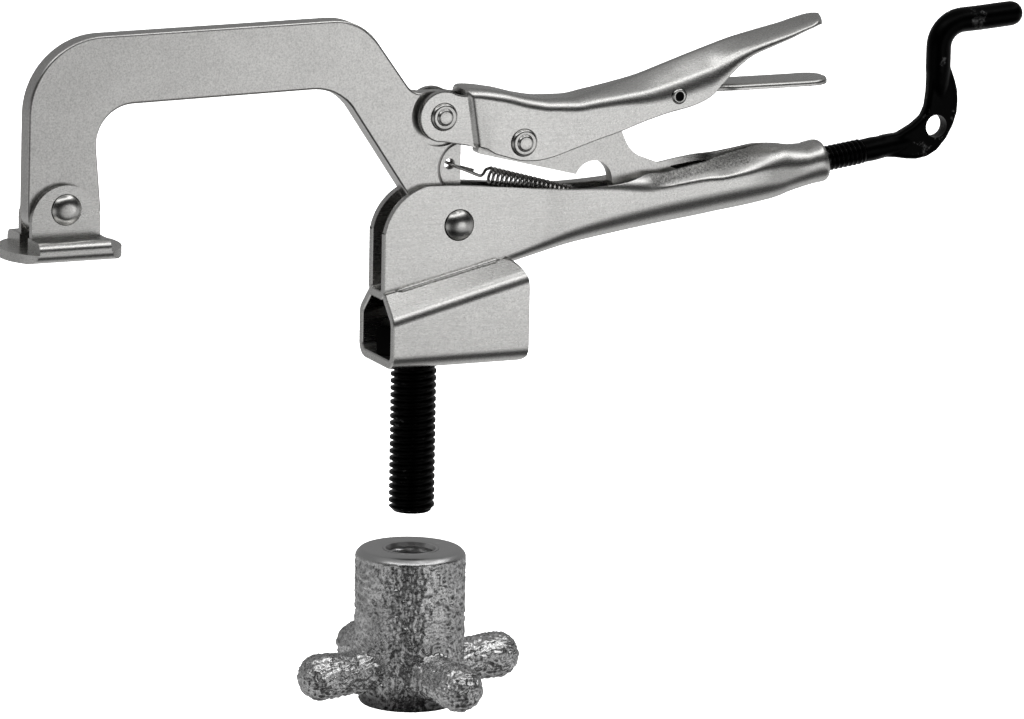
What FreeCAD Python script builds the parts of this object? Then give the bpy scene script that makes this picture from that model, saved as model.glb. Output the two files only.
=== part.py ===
import FreeCAD, Part
import math
import os
import Sketcher

# Locking C clamp for a drill-press table: a flat C-shaped jaw arm on a toggle linkage, a fixed handle
# welded to a boxed base, a bolt through the base with a cast hand nut under it, and a crank screw in the
# rear of the fixed handle that sets the grip.
# Millimetres, +Z up. The origin is the centre of the base's flat underside, on the bolt's axis. +X points
# along the handles to the crank, and the plates of the linkage are centred on Y = 0.

Vector = FreeCAD.Vector
DOC = FreeCAD.newDocument("locking_c_clamp")
SHEET = DOC.addObject("Spreadsheet::Sheet", "Sizes")
ACROSS = FreeCAD.Rotation(Vector(1, 0, 0), 90)

# Corners of the flat outlines: x, z, and the radius that rounds the corner.
CORNERS = {
    "arm_tip_front": (-112.9, 40.0, 8.0),
    "arm_top_front": (-112.2, 94.0, 21.0),
    "arm_top_rear": (-17.9, 95.3, 16.0),
    "arm_heel": (-2.7, 74.2, 5.0),
    "arm_lobe": (12.1, 74.2, 6.4),
    "arm_back": (12.1, 46.5, 3.0),
    "arm_foot_top": (18.8, 42.5, 3.0),
    "arm_foot_rear": (18.8, 29.5, 6.0),
    "arm_foot_front": (7.5, 29.5, 6.0),
    "arm_throat_rear": (-24.2, 76.8, 14.0),
    "arm_throat_front": (-94.2, 75.3, 10.5),
    "arm_tip_rear": (-91.3, 40.0, 8.0),
    "link_nose_low": (16.9, 56.5, 1.0),
    "link_heel_low": (57.2, 46.4, 0.0),
    "link_belly": (59.5, 40.5, 4.0),
    "link_end_low": (80.6, 39.0, 3.6),
    "link_end_top": (81.6, 46.8, 3.6),
    "link_throat": (62.6, 54.2, 9.0),
    "link_cam": (58.6, 63.2, 2.0),
    "link_nose_top": (19.6, 66.6, 6.0),
    "lever_tail_top": (117.0, 72.4, 0.0),
    "lever_tail_low": (117.0, 71.0, 0.0),
    "lever_knee_low": (84.0, 71.0, 6.0),
    "lever_belly": (74.0, 66.9, 2.0),
    "lever_nose_low": (60.6, 66.4, 1.5),
    "lever_nose_top": (60.0, 69.6, 1.5),
    "lever_back": (73.0, 73.4, 3.0),
    "lever_knee_top": (84.0, 72.4, 0.0),
    "base_low_front": (-11.2, 0.0, 0.0),
    "base_low_rear": (28.9, 0.0, 3.0),
    "base_top_rear": (28.9, 29.5, 9.0),
    "base_top_front": (-11.2, 20.3, 0.0),
    "eye_low_front": (144.2, 47.6, 4.0),
    "eye_low_rear": (158.0, 46.9, 9.0),
    "eye_rear": (164.6, 59.0, 6.0),
    "eye_neck_rear": (160.9, 71.5, 0.0),
    "eye_neck_front": (153.8, 71.5, 0.0),
    "eye_throat": (152.0, 60.0, 3.0),
    "eye_front": (143.6, 55.3, 1.5),
}

# Cross-sections of the bent handles: where along x, closed side z, open side z, half width, bend radius,
# lip radius and the angle that each lip curls inwards. The upper handle's walls have no lips.
SECTION_FIELDS = ("_x", "_closed", "_open", "_half", "_bend", "_lip", "_curl")
CHEEK_SECTIONS = {
    "cheek_front": (-11.4, 18.0, 49.2, 5.6, 3.2, 4.0, 6.0),
    "cheek_back": (24.0, 25.4, 47.4, 5.6, 3.4, 4.0, 6.0),
    "cheek_waist": (42.0, 29.5, 45.9, 6.5, 5.2, 4.0, 10.0),
    "cheek_grip": (57.0, 31.9, 46.5, 7.2, 6.6, 5.0, 26.0),
    "cheek_lips": (68.0, 33.6, 49.0, 7.5, 7.0, 6.6, 60.0),
    "cheek_seam": (84.0, 35.6, 51.9, 7.6, 7.3, 7.3, 67.0),
    "cheek_slit": (89.0, 36.2, 52.5, 7.6, 7.35, 7.35, 84.0),
    "cheek_belly": (98.0, 37.3, 53.7, 7.6, 7.4, 7.4, 89.0),
    "cheek_collar": (112.0, 41.0, 53.5, 6.2, 6.0, 6.0, 90.0),
    "cheek_end": (127.0, 43.3, 55.3, 6.0, 5.8, 5.8, 90.0),
}
GRIP_SECTIONS = {
    "grip_front": (11.4, 73.9, 59.7, 5.2, 3.4),
    "grip_ear": (14.2, 74.8, 58.9, 5.2, 3.4),
    "grip_joggle": (16.8, 75.0, 58.1, 6.9, 4.6),
    "grip_rivet": (29.0, 72.2, 54.4, 6.9, 5.4),
    "grip_waist": (41.0, 70.8, 56.2, 6.9, 5.6),
    "grip_middle": (60.0, 74.2, 62.3, 7.0, 5.8),
    "grip_pin": (76.0, 79.2, 66.7, 7.1, 5.8),
    "grip_flare": (85.0, 82.0, 70.4, 7.1, 5.4),
    "grip_sweep": (93.0, 84.4, 77.8, 7.0, 4.4),
    "grip_neck": (102.0, 86.4, 82.2, 6.7, 3.4),
    "grip_tail": (112.0, 88.9, 85.9, 6.3, 2.8),
    "grip_tip": (121.0, 90.2, 87.8, 5.8, 2.3),
}

NUMBERS = {
    # jaw arm: one flat plate, coined thinner round the handle rivet and at the spring hole
    "arm_plate": 6.0,
    "arm_edge_round": 0.7,
    "arm_coin_depth": 1.2,
    "arm_coin_radius": 8.5,
    "spring_coin_radius": 7.8,
    "spring_coin_x": 12.7,
    "spring_coin_z": 52.9,
    "spring_hole_radius": 1.55,
    "spring_hole_x": 8.88,
    "spring_hole_z": 54.06,
    # pivots of the linkage and of the pad
    "main_pivot_x": 10.34,
    "main_pivot_z": 37.83,
    "arm_pivot_x": 5.53,
    "arm_pivot_z": 67.7,
    "link_pivot_x": 28.52,
    "link_pivot_z": 59.68,
    "lever_pivot_x": 74.56,
    "lever_pivot_z": 70.03,
    "pad_pivot_x": -102.6,
    "pad_pivot_z": 48.67,
    # rivets: shanks, heads, and the running clearance of a plate that turns on one
    "main_rivet_shank": 3.0,
    "main_rivet_head": 4.15,
    "main_rivet_dome": 1.9,
    "arm_rivet_shank": 2.6,
    "arm_rivet_head": 3.8,
    "arm_rivet_dome": 1.5,
    "pad_rivet_head": 4.1,
    "turning_gap": 0.06,
    "fixed_gap": 0.02,
    "head_gap": 0.02,
    # fixed handle: a bent channel that rolls into a round socket for the screw
    "cheek_gauge": 2.4,
    "cheek_nose_radius": 15.5,
    "socket_start": 20.5,
    "socket_end": 37.5,
    "socket_radius": 5.98,
    "socket_edge": 0.8,
    "trim_reach": 20.0,
    "rivet_tool_length": 40.0,
    # upper handle
    "grip_gauge": 2.0,
    "ear_radius": 7.0,
    "ear_inner": 3.2,
    "ear_web_back": 2.2,
    "ear_web_low": 6.6,
    "ear_web_front": 3.6,
    "ear_web_high": 6.0,
    # base: a second bent sheet, open at both ends, with the bolt head inside
    "base_gauge": 2.4,
    "base_half_width": 12.15,
    "base_neck_half_width": 5.64,
    "base_neck_front": 20.0,
    "base_neck_rear": 29.2,
    "base_shoulder_front": 13.5,
    "base_shoulder_rear": 23.9,
    "base_bend": 2.3,
    "base_inner_bend": 0.8,
    "base_envelope_width": 60.0,
    "base_bolt_hole": 6.4,
    "weld_radius": 1.15,
    "weld_inset": 3.0,
    # bolt and hand nut, 1/2 inch, 13 threads to the inch
    "bolt_radius": 6.25,
    "bolt_neck_radius": 5.9,
    "bolt_neck_depth": 0.5,
    "bolt_length": 41.7,
    "bolt_chamfer": 1.2,
    "bolt_head_across": 19.05,
    "bolt_head_height": 7.9,
    "bolt_head_seat": 0.05,
    "nut_bore": 6.33,
    "nut_mouth": 7.3,
    "nut_top": -52.3,
    "nut_bottom": -95.9,
    "nut_radius": 15.2,
    "nut_skirt_radius": 13.9,
    "nut_chamfer": 1.2,
    "nut_skirt_rise": 3.0,
    "nut_arm_radius": 6.0,
    "nut_arm_root": 2.0,
    "nut_arm_reach": 27.6,
    "nut_arm_tip": 6.6,
    "nut_arm_z": -85.6,
    "nut_arm_turn": 6.9,
    # toggle link
    "link_plate": 4.0,
    "link_notch_x": 51.6,
    "link_notch_z": 47.0,
    "link_notch_radius": 5.6,
    # release lever and its hollow pin
    "lever_body_width": 9.2,
    "lever_tail_width": 13.0,
    "lever_tail_start": 89.5,
    "lever_tail_end": 121.6,
    "lever_tail_corner": 4.5,
    "lever_tail_heel": 1.1,
    "lever_pin_radius": 2.05,
    "lever_pin_bore": 1.15,
    "lever_pin_length": 15.0,
    # return spring and the lug that holds its rear hook
    "spring_wire": 0.9,
    "spring_coil_radius": 2.6,
    "spring_leg_y": 2.4,
    "spring_hook_bend": 0.6,
    "spring_hook_x": 9.38,
    "spring_hook_z": 53.96,
    "spring_hook_run": 1.0,
    "spring_bend_x": 17.8,
    "spring_bend_z": 50.6,
    "spring_coil_start": 21.2,
    "spring_coil_end": 45.5,
    "spring_slope": -15.5,
    "anchor_x": 50.0,
    "anchor_half_width": 2.0,
    "anchor_eye_z": 41.4,
    "anchor_eye_radius": 0.85,
    "anchor_leg_y": 1.7,
    "anchor_top": 43.2,
    "anchor_foot": 33.3,
    "anchor_plate": 2.0,
    # adjusting screw: thread, shank, flattened eye and bent crank, all one bar
    "screw_slope": 7.8,
    "screw_tip_x": 85.3,
    "screw_tip_z": 43.56,
    "screw_radius": 3.55,
    "screw_bore": 3.62,
    "screw_thread": 50.2,
    "screw_shank_radius": 3.35,
    "screw_length": 63.0,
    "eye_plate": 3.4,
    "eye_hole_x": 156.4,
    "eye_hole_z": 56.4,
    "eye_hole_radius": 3.2,
    "crank_radius": 3.5,
    "crank_foot_x": 157.4,
    "crank_foot_z": 66.0,
    "crank_bend_z": 85.0,
    "crank_bend_radius": 7.4,
    "crank_end_x": 179.9,
    "crank_end_z": 86.85,
    # swivel pad: a stamped disc with its two sides folded over and up into ears
    "pad_radius": 16.5,
    "pad_half_depth": 12.8,
    "pad_bottom": 35.8,
    "pad_gauge": 2.5,
    "pad_fold": 2.4,
    "pad_hem_half_length": 10.0,
    "pad_hem_height": 5.5,
    "pad_ear_half_width": 9.6,
    "pad_ear_centre_z": 45.6,
    "pad_ear_inner": 3.2,
    "pad_ear_outer": 5.3,
}


def fill_sheet():
    """Write every driving dimension into the sheet as a plain number with an alias."""
    values = dict(NUMBERS)
    for corner, (x, z, radius) in CORNERS.items():
        values[corner + "_x"] = x
        values[corner + "_z"] = z
        values[corner + "_round"] = radius
    for table in (CHEEK_SECTIONS, GRIP_SECTIONS):
        for name, numbers in table.items():
            for field, number in zip(SECTION_FIELDS, numbers):
                values[name + field] = number
    for row, (alias, value) in enumerate(values.items(), 1):
        SHEET.set("A%d" % row, alias)
        SHEET.set("B%d" % row, str(value))
        SHEET.setAlias("B%d" % row, alias)
    DOC.recompute()


def size(alias):
    """A driving dimension as a number."""
    return float(SHEET.get(alias))


def bind(thing, **properties):
    """Bind properties to expressions; a double underscore in a name stands for a dot."""
    for name, expression in properties.items():
        thing.setExpression(name.replace("__", "."), expression)


def body(label):
    """A new PartDesign body."""
    made = DOC.addObject("PartDesign::Body", label)
    made.Label = label
    return made


def sketch_on(owner, name, role, offset="0"):
    """A sketch on one of the body's origin planes, moved along the plane's normal by an expression."""
    plane = [feature for feature in owner.Origin.OriginFeatures if feature.Role == role][0]
    made = owner.newObject("Sketcher::SketchObject", name)
    made.AttachmentSupport = (plane, [""])
    made.MapMode = "FlatFace"
    bind(made, AttachmentOffset__Base__z=offset)
    return made


def polygon(sketch, points):
    """A closed polygon whose corners are pairs of expressions."""
    places = []
    for across, up in points:
        places.append(Vector(float(sketch.evalExpression(across)), float(sketch.evalExpression(up)), 0))
    count = len(places)
    lines = []
    for index, place in enumerate(places):
        lines.append(sketch.addGeometry(Part.LineSegment(place, places[(index + 1) % count]), False))
    for line, before, place, point in zip(lines, lines[-1:] + lines[:-1], places, points):
        sketch.addConstraint(Sketcher.Constraint("Coincident", before, 2, line, 1))
        across = sketch.addConstraint(Sketcher.Constraint("DistanceX", -1, 1, line, 1, place.x))
        sketch.setExpression("Constraints[%d]" % across, point[0])
        up = sketch.addConstraint(Sketcher.Constraint("DistanceY", -1, 1, line, 1, place.y))
        sketch.setExpression("Constraints[%d]" % up, point[1])


def corner_points(corners):
    """The sheet's expressions for a list of named corners."""
    return [("Sizes.%s_x" % corner, "Sizes.%s_z" % corner) for corner in corners]


def circle(sketch, across, up, radius):
    """A circle whose centre and radius are expressions."""
    centre = Vector(float(sketch.evalExpression(across)), float(sketch.evalExpression(up)), 0)
    reach = float(sketch.evalExpression(radius))
    ring = sketch.addGeometry(Part.Circle(centre, Vector(0, 0, 1), reach), False)
    names = (("DistanceX", centre.x, across), ("DistanceY", centre.y, up))
    for kind, value, expression in names:
        number = sketch.addConstraint(Sketcher.Constraint(kind, -1, 1, ring, 3, value))
        sketch.setExpression("Constraints[%d]" % number, expression)
    number = sketch.addConstraint(Sketcher.Constraint("Radius", ring, reach))
    sketch.setExpression("Constraints[%d]" % number, radius)


def pad(owner, name, sketch, length):
    """A pad of a whole width, half to each side of its sketch."""
    made = owner.newObject("PartDesign::Pad", name)
    made.Profile = sketch
    made.SideType = "Symmetric"
    bind(made, Length=length)
    DOC.recompute()
    return made


def cut_through(owner, name, sketch):
    """A pocket through everything, to both sides of its sketch."""
    before = owner.Shape.Volume
    made = owner.newObject("PartDesign::Pocket", name)
    made.Profile = sketch
    made.SideType = "Symmetric"
    made.Type = "ThroughAll"
    DOC.recompute()
    if not owner.Shape.Volume < before:
        raise RuntimeError(name + " cut nothing")
    return made


def cross_bore(owner, name, across, up, radius):
    """A round hole along Y."""
    sketch = sketch_on(owner, name + "_circle", "XZ_Plane")
    circle(sketch, across, up, radius)
    return cut_through(owner, name, sketch)


def round_edges(owner, name, radius, chosen):
    """A fillet on the edges of the body's shape that chosen() accepts."""
    base = owner.Tip
    edges = ["Edge%d" % number for number, edge in enumerate(base.Shape.Edges, 1) if chosen(edge)]
    made = owner.newObject("PartDesign::Fillet", name)
    made.Base = (base, edges)
    bind(made, Radius=radius)
    DOC.recompute()
    if not edges or "Invalid" in made.State:
        raise RuntimeError(name + " rounded nothing")
    return made


def round_corners(owner, corners):
    """Round the edges along Y that stand on the named corners."""
    for corner in corners:
        if size(corner + "_round") > 0:
            place = (size(corner + "_x"), size(corner + "_z"))

            def stands_here(edge, place=place):
                ends = [vertex.Point for vertex in edge.Vertexes]
                return len(ends) == 2 and all(math.dist((end.x, end.z), place) < 0.01 for end in ends)

            round_edges(owner, corner + "_fillet", "Sizes.%s_round" % corner, stands_here)


def plate(label, corners, thickness):
    """A flat plate in the XZ plane with rounded corners."""
    made = body(label)
    sketch = sketch_on(made, label + "_outline", "XZ_Plane")
    polygon(sketch, corner_points(corners))
    pad(made, label + "_plate", sketch, thickness)
    round_corners(made, corners)
    return made


def named(prefix):
    """The corners of one outline, in order."""
    return [corner for corner in CORNERS if corner.startswith(prefix)]


def cylinder(name, radius, height):
    """A Part cylinder along Z from its own origin."""
    made = DOC.addObject("Part::Cylinder", name)
    bind(made, Radius=radius, Height=height)
    return made


def boolean(kind, label, *shapes):
    """Part::MultiFuse, Part::MultiCommon or Part::Cut of finished objects."""
    made = DOC.addObject("Part::" + kind, label)
    made.Label = label
    if kind == "Cut":
        made.Base, made.Tool = shapes
    else:
        made.Shapes = list(shapes)
    DOC.recompute()
    return made


def shaped(name, shape):
    """A plain feature that holds a shape worked out below."""
    made = DOC.addObject("Part::Feature", name)
    made.Shape = shape
    made.Placement = FreeCAD.Placement()
    return made


def jaw_arm():
    made = plate("jaw_arm", named("arm_"), "Sizes.arm_plate")
    half = size("arm_plate") / 2

    def on_a_face(edge):
        return all(abs(abs(vertex.Point.y) - half) < 0.001 for vertex in edge.Vertexes)

    round_edges(made, "arm_edges", "Sizes.arm_edge_round", on_a_face)
    coins = (
        ("handle_coin", "Sizes.arm_pivot_x", "Sizes.arm_pivot_z", "Sizes.arm_coin_radius"),
        ("spring_coin", "Sizes.spring_coin_x", "Sizes.spring_coin_z", "Sizes.spring_coin_radius"),
    )
    for name, across, up, radius in coins:
        for side in ("front", "back"):
            away = "(Sizes.arm_plate / 2 - Sizes.arm_coin_depth)"
            sketch = sketch_on(made, "%s_%s_circle" % (name, side), "XZ_Plane",
                               away if side == "front" else "-" + away)
            circle(sketch, across, up, radius)
            before = made.Shape.Volume
            coin = made.newObject("PartDesign::Pocket", "%s_%s" % (name, side))
            coin.Profile = sketch
            coin.Reversed = side == "front"
            bind(coin, Length="2 * Sizes.arm_coin_depth")
            DOC.recompute()
            if not made.Shape.Volume < before:
                raise RuntimeError(name + " cut nothing")
    bores = (
        ("main_pivot", "Sizes.main_rivet_shank + Sizes.turning_gap"),
        ("arm_pivot", "Sizes.arm_rivet_shank + Sizes.turning_gap"),
        ("pad_pivot", "Sizes.arm_rivet_shank + Sizes.turning_gap"),
        ("spring_hole", "Sizes.spring_hole_radius"),
    )
    for name, radius in bores:
        cross_bore(made, name + "_bore", "Sizes.%s_x" % name, "Sizes.%s_z" % name, radius)
    return made


def toggle_link():
    made = plate("toggle_link", named("link_"), "Sizes.link_plate")
    cross_bore(made, "link_bore", "Sizes.link_pivot_x", "Sizes.link_pivot_z",
               "Sizes.arm_rivet_shank + Sizes.turning_gap")
    cross_bore(made, "link_notch", "Sizes.link_notch_x", "Sizes.link_notch_z", "Sizes.link_notch_radius")
    return made


def rounded_wire(points, radii):
    """A closed wire of straight runs with a tangent arc at each corner whose radius isn't zero."""
    starts = []
    edges = []
    count = len(points)
    for index, (corner, radius) in enumerate(zip(points, radii)):
        before = (points[index - 1] - corner).normalize()
        after = (points[(index + 1) % count] - corner).normalize()
        half_angle = before.getAngle(after) / 2
        leg = radius / math.tan(half_angle)
        middle = (before + after).normalize() * (radius / math.sin(half_angle) - radius)
        starts.append((corner + before * leg, corner + middle, corner + after * leg))
    for index, (start, middle, end) in enumerate(starts):
        if radii[index]:
            edges.append(Part.Arc(start, middle, end).toShape())
        edges.append(Part.LineSegment(end, starts[(index + 1) % count][0]).toShape())
    return Part.Wire(edges)


def release_lever():
    web = plate("lever_web", named("lever_"), "Sizes.lever_body_width")
    cross_bore(web, "lever_bore", "Sizes.lever_pivot_x", "Sizes.lever_pivot_z",
               "Sizes.lever_pin_radius + Sizes.turning_gap")
    low, high = size("lever_tail_low_z"), size("lever_tail_top_z")
    start, end = size("lever_tail_start"), size("lever_tail_end")
    half = size("lever_tail_width") / 2
    corner = size("lever_tail_corner")
    corners = [
        Vector(start, -half, low),
        Vector(end, -half, low),
        Vector(end, half, low),
        Vector(start, half, low),
    ]
    heel = size("lever_tail_heel")
    outline = rounded_wire(corners, [heel, corner, corner, heel])
    tail = shaped("lever_tail", Part.Face(outline).extrude(Vector(0, 0, high - low)))
    return boolean("MultiFuse", "release_lever", web, tail)


def section(numbers, gauge):
    """A wire in the plane x, bent like a C: flat closed side, two bends, two walls and curled lips."""
    x, closed, mouth, half, bend, lip, curl = numbers
    way = math.copysign(1, mouth - closed)
    turn = math.radians(curl)
    wall_end = abs(mouth - closed) - lip * math.sin(turn)

    def place(across, up):
        return Vector(x, across, closed + way * up)

    def lip_point(radius, angle):
        return half - lip + radius * math.cos(angle), wall_end + radius * math.sin(angle)

    slant = math.sqrt(0.5)
    bend_mid = (half - bend + bend * slant, bend - bend * slant)
    inner_bend = bend - gauge
    inner_mid = (half - bend + inner_bend * slant, bend - inner_bend * slant)
    steps = [
        ((half - bend, 0), bend_mid),
        ((half, bend), None),
        ((half, wall_end), lip_point(lip, turn / 2) if curl else None),
        (lip_point(lip, turn), None),
        (lip_point(lip - gauge, turn), lip_point(lip - gauge, turn / 2) if curl else None),
        ((half - gauge, wall_end), None),
        ((half - gauge, bend), inner_mid),
        ((half - bend, gauge), None),
    ]
    if not curl:
        steps = steps[:2] + [((half, wall_end), None), ((half - gauge, wall_end), None)] + steps[6:]
    mirrored = []
    for index in range(len(steps) - 1, -1, -1):
        start = steps[index][0]
        middle = steps[index - 1][1] if index else None
        mirrored.append(((-start[0], start[1]), (-middle[0], middle[1]) if middle else None))
    edges = []
    loop = steps + mirrored
    for index, (start, middle) in enumerate(loop):
        end = place(*loop[(index + 1) % len(loop)][0])
        if middle:
            edges.append(Part.Arc(place(*start), place(*middle), end).toShape())
        else:
            edges.append(Part.LineSegment(place(*start), end).toShape())
    return Part.Wire(edges)


def station(name, count):
    """One cross-section's numbers from the sheet, with no lip where the table has none."""
    numbers = [size(name + field) for field in SECTION_FIELDS[:count]]
    return numbers + [0] * (len(SECTION_FIELDS) - count)


def along_screw(distance):
    """The point on the screw's axis that far behind its tip."""
    slope = math.radians(size("screw_slope"))
    return Vector(size("screw_tip_x") + distance * math.cos(slope), 0,
                  size("screw_tip_z") + distance * math.sin(slope))


def screw_direction():
    slope = math.radians(size("screw_slope"))
    return Vector(math.cos(slope), 0, math.sin(slope))


def fixed_handle():
    gauge = size("cheek_gauge")
    sections = [section(station(name, len(SECTION_FIELDS)), gauge) for name in CHEEK_SECTIONS]
    channel = Part.makeLoft(sections, True, True)
    nose = size("cheek_nose_radius")
    reach = size("trim_reach")
    corner = Vector(size("cheek_front_x"), -reach / 2, size("cheek_front_open") - nose)
    block = Part.makeBox(nose, reach, nose, corner)
    rounding = Part.makeCylinder(nose, reach, corner + Vector(nose, 0, 0), Vector(0, 1, 0))
    channel = channel.cut(block.cut(rounding))
    end = size("socket_end")
    way = screw_direction()
    edge = size("socket_edge")
    channel = channel.cut(Part.makeCylinder(reach, reach, along_screw(end - edge), way))
    length = end - size("socket_start")
    socket = Part.makeCylinder(size("socket_radius"), length, along_screw(size("socket_start")), way)
    rim = [circle for circle in socket.Edges if (circle.CenterOfMass - along_screw(end)).Length < 0.01]
    channel = channel.fuse(socket.makeFillet(edge, rim))
    channel = channel.cut(Part.makeCylinder(size("screw_bore"), end + reach, along_screw(-edge), way))
    return boolean("Cut", "fixed_handle", shaped("handle_channel", channel),
                   rivet_hole("main_pivot", "main_rivet_shank"))


def rivet_hole(pivot, shank):
    """A tool along Y that opens a bent sheet for a rivet's shank."""
    tool = cylinder(pivot + "_tool", "Sizes.%s + Sizes.fixed_gap" % shank, "Sizes.rivet_tool_length")
    tool.Placement = FreeCAD.Placement(Vector(0, size("rivet_tool_length") / 2, 0), ACROSS)
    bind(tool, Placement__Base__x="Sizes.%s_x" % pivot, Placement__Base__z="Sizes.%s_z" % pivot)
    return tool


def upper_handle():
    gauge = size("grip_gauge")
    wires = [section(station(name, 5), gauge) for name in GRIP_SECTIONS]
    shape = Part.makeLoft(wires, True, True)
    pivot = Vector(size("arm_pivot_x"), 0, size("arm_pivot_z"))
    joggle = size("grip_ear_x")
    for y in (size("ear_inner"), -size("ear_inner") - gauge):
        ear = Part.makeCylinder(size("ear_radius"), gauge, Vector(pivot.x, y, pivot.z), Vector(0, 1, 0))
        heel = Vector(pivot.x - size("ear_web_back"), y, pivot.z - size("ear_web_low"))
        web = Part.makePolygon([
            heel,
            Vector(joggle, y, size("grip_ear_open")),
            Vector(joggle, y, size("grip_ear_closed") - size("grip_ear_bend")),
            Vector(pivot.x + size("ear_web_front"), y, pivot.z + size("ear_web_high")),
            heel,
        ])
        shape = shape.fuse(ear).fuse(Part.Face(web).extrude(Vector(0, gauge, 0)))
    solid = shaped("grip_channel", shape.removeSplitter())
    holes = boolean("MultiFuse", "grip_holes",
                    rivet_hole("arm_pivot", "arm_rivet_shank"),
                    rivet_hole("link_pivot", "arm_rivet_shank"),
                    rivet_hole("lever_pivot", "lever_pin_radius"))
    return boolean("Cut", "upper_handle", solid, holes)


def base_section(end):
    """The base's open section at one end: flat bottom, two sides, and a roof that leans in to the neck."""
    x = size("base_low_%s_x" % end)
    wide = size("base_half_width")
    neck = size("base_neck_half_width")
    gauge = size("base_gauge")
    shoulder = size("base_shoulder_" + end)
    top = size("base_neck_" + end)
    lean = math.atan2(top - shoulder, wide - neck)
    inner_shoulder = shoulder + gauge * math.tan(lean) - gauge / math.cos(lean)
    bend = size("base_bend")
    inner_bend = size("base_inner_bend")
    right = [
        (wide, 0, bend),
        (wide, shoulder, bend),
        (neck, top, 0),
        (neck, top - gauge / math.cos(lean), 0),
        (wide - gauge, inner_shoulder, inner_bend),
        (wide - gauge, gauge, inner_bend),
    ]
    loop = right + [(-y, z, radius) for y, z, radius in reversed(right)]
    return rounded_wire([Vector(x, y, z) for y, z, radius in loop], [radius for y, z, radius in loop])


def base_channel():
    bent = Part.makeLoft([base_section("front"), base_section("rear")], True, True)
    sheet = shaped("base_sheet", bent)
    hole = cylinder("bolt_hole", "Sizes.base_bolt_hole", "3 * Sizes.base_gauge")
    bind(hole, Placement__Base__z="-Sizes.base_gauge")
    envelope = plate("base_envelope", named("base_"), "Sizes.base_envelope_width")
    return boolean("Cut", "base_channel", boolean("MultiCommon", "base_trimmed", sheet, envelope), hole)


def weld_bead(label, side):
    """A round bead along the line where the base's neck meets the handle's wall."""
    front = size("base_low_front_x") + size("weld_inset")
    rear = size("base_low_rear_x") - 2 * size("weld_inset")
    climb = size("base_neck_rear") - size("base_neck_front")
    rise = climb / (size("base_low_rear_x") - size("base_low_front_x"))
    bead = cylinder(label, "Sizes.weld_radius", str(math.hypot(rear - front, rise * (rear - front))))
    angle = math.degrees(math.atan(rise))
    z = size("base_neck_front") + rise * size("weld_inset")
    bead.Placement = FreeCAD.Placement(Vector(front, side * size("base_neck_half_width"), z),
                                       FreeCAD.Rotation(Vector(0, 1, 0), 90 - angle))
    bead.Label = label
    return bead


def mounting_bolt():
    """A hexagon bolt, relieved to a thinner neck where it passes through the base's floor."""
    made = body("mounting_bolt")
    shank = sketch_on(made, "shank_circle", "XY_Plane", "-Sizes.bolt_neck_depth")
    circle(shank, "0", "0", "Sizes.bolt_radius")
    pillar = made.newObject("PartDesign::Pad", "shank")
    pillar.Profile = shank
    pillar.Reversed = True
    bind(pillar, Length="Sizes.bolt_length - Sizes.bolt_neck_depth")
    ring = sketch_on(made, "neck_circle", "XY_Plane", "-Sizes.bolt_neck_depth")
    circle(ring, "0", "0", "Sizes.bolt_neck_radius")
    neck = made.newObject("PartDesign::Pad", "neck")
    neck.Profile = ring
    bind(neck, Length="Sizes.bolt_neck_depth + Sizes.base_gauge + 2 * Sizes.bolt_head_seat")
    head = sketch_on(made, "head_hexagon", "XY_Plane", "Sizes.base_gauge + Sizes.bolt_head_seat")
    corners = []
    for index in range(6):
        angle = 60 * index
        reach = "(Sizes.bolt_head_across / sqrt(3))"
        corners.append(("%s * cos(%d deg)" % (reach, angle), "%s * sin(%d deg)" % (reach, angle)))
    polygon(head, corners)
    block = made.newObject("PartDesign::Pad", "head")
    block.Profile = head
    bind(block, Length="Sizes.bolt_head_height")
    DOC.recompute()
    tip = -size("bolt_length")
    edges = ["Edge%d" % number for number, edge in enumerate(made.Shape.Edges, 1)
             if abs(edge.CenterOfMass.z - tip) < 0.01]
    chamfer = made.newObject("PartDesign::Chamfer", "tip_chamfer")
    chamfer.Base = (block, edges)
    bind(chamfer, Size="Sizes.bolt_chamfer")
    DOC.recompute()
    return made


def hand_nut():
    made = body("nut_barrel")
    half = sketch_on(made, "barrel_half", "XZ_Plane")
    polygon(half, [
        ("Sizes.nut_bore", "Sizes.nut_bottom"),
        ("Sizes.nut_skirt_radius", "Sizes.nut_bottom"),
        ("Sizes.nut_radius", "Sizes.nut_arm_z + Sizes.nut_arm_radius + Sizes.nut_skirt_rise"),
        ("Sizes.nut_radius", "Sizes.nut_top - Sizes.nut_chamfer"),
        ("Sizes.nut_radius - Sizes.nut_chamfer", "Sizes.nut_top"),
        ("Sizes.nut_mouth", "Sizes.nut_top"),
        ("Sizes.nut_bore", "Sizes.nut_top - Sizes.nut_mouth + Sizes.nut_bore"),
    ])
    barrel = made.newObject("PartDesign::Revolution", "barrel")
    barrel.Profile = half
    barrel.ReferenceAxis = (half, ["V_Axis"])
    DOC.recompute()
    pieces = [made]
    length = "Sizes.nut_arm_reach - Sizes.nut_bore - Sizes.nut_arm_root"
    for index in range(4):
        turn = size("nut_arm_turn") + 90 * index
        outward = Vector(math.cos(math.radians(turn)), math.sin(math.radians(turn)), 0)
        level = Vector(0, 0, size("nut_arm_z"))
        arm = DOC.addObject("Part::Cone", "nut_arm_%d" % index)
        bind(arm, Radius1="Sizes.nut_arm_radius", Radius2="Sizes.nut_arm_tip", Height=length)
        arm.Placement = FreeCAD.Placement(level + outward * (size("nut_bore") + size("nut_arm_root")),
                                          FreeCAD.Rotation(Vector(0, 0, 1), outward))
        tip = DOC.addObject("Part::Sphere", "nut_arm_end_%d" % index)
        bind(tip, Radius="Sizes.nut_arm_tip")
        tip.Placement = FreeCAD.Placement(level + outward * size("nut_arm_reach"), FreeCAD.Rotation())
        pieces += [arm, tip]
    return boolean("MultiFuse", "hand_nut", *pieces)


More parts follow.
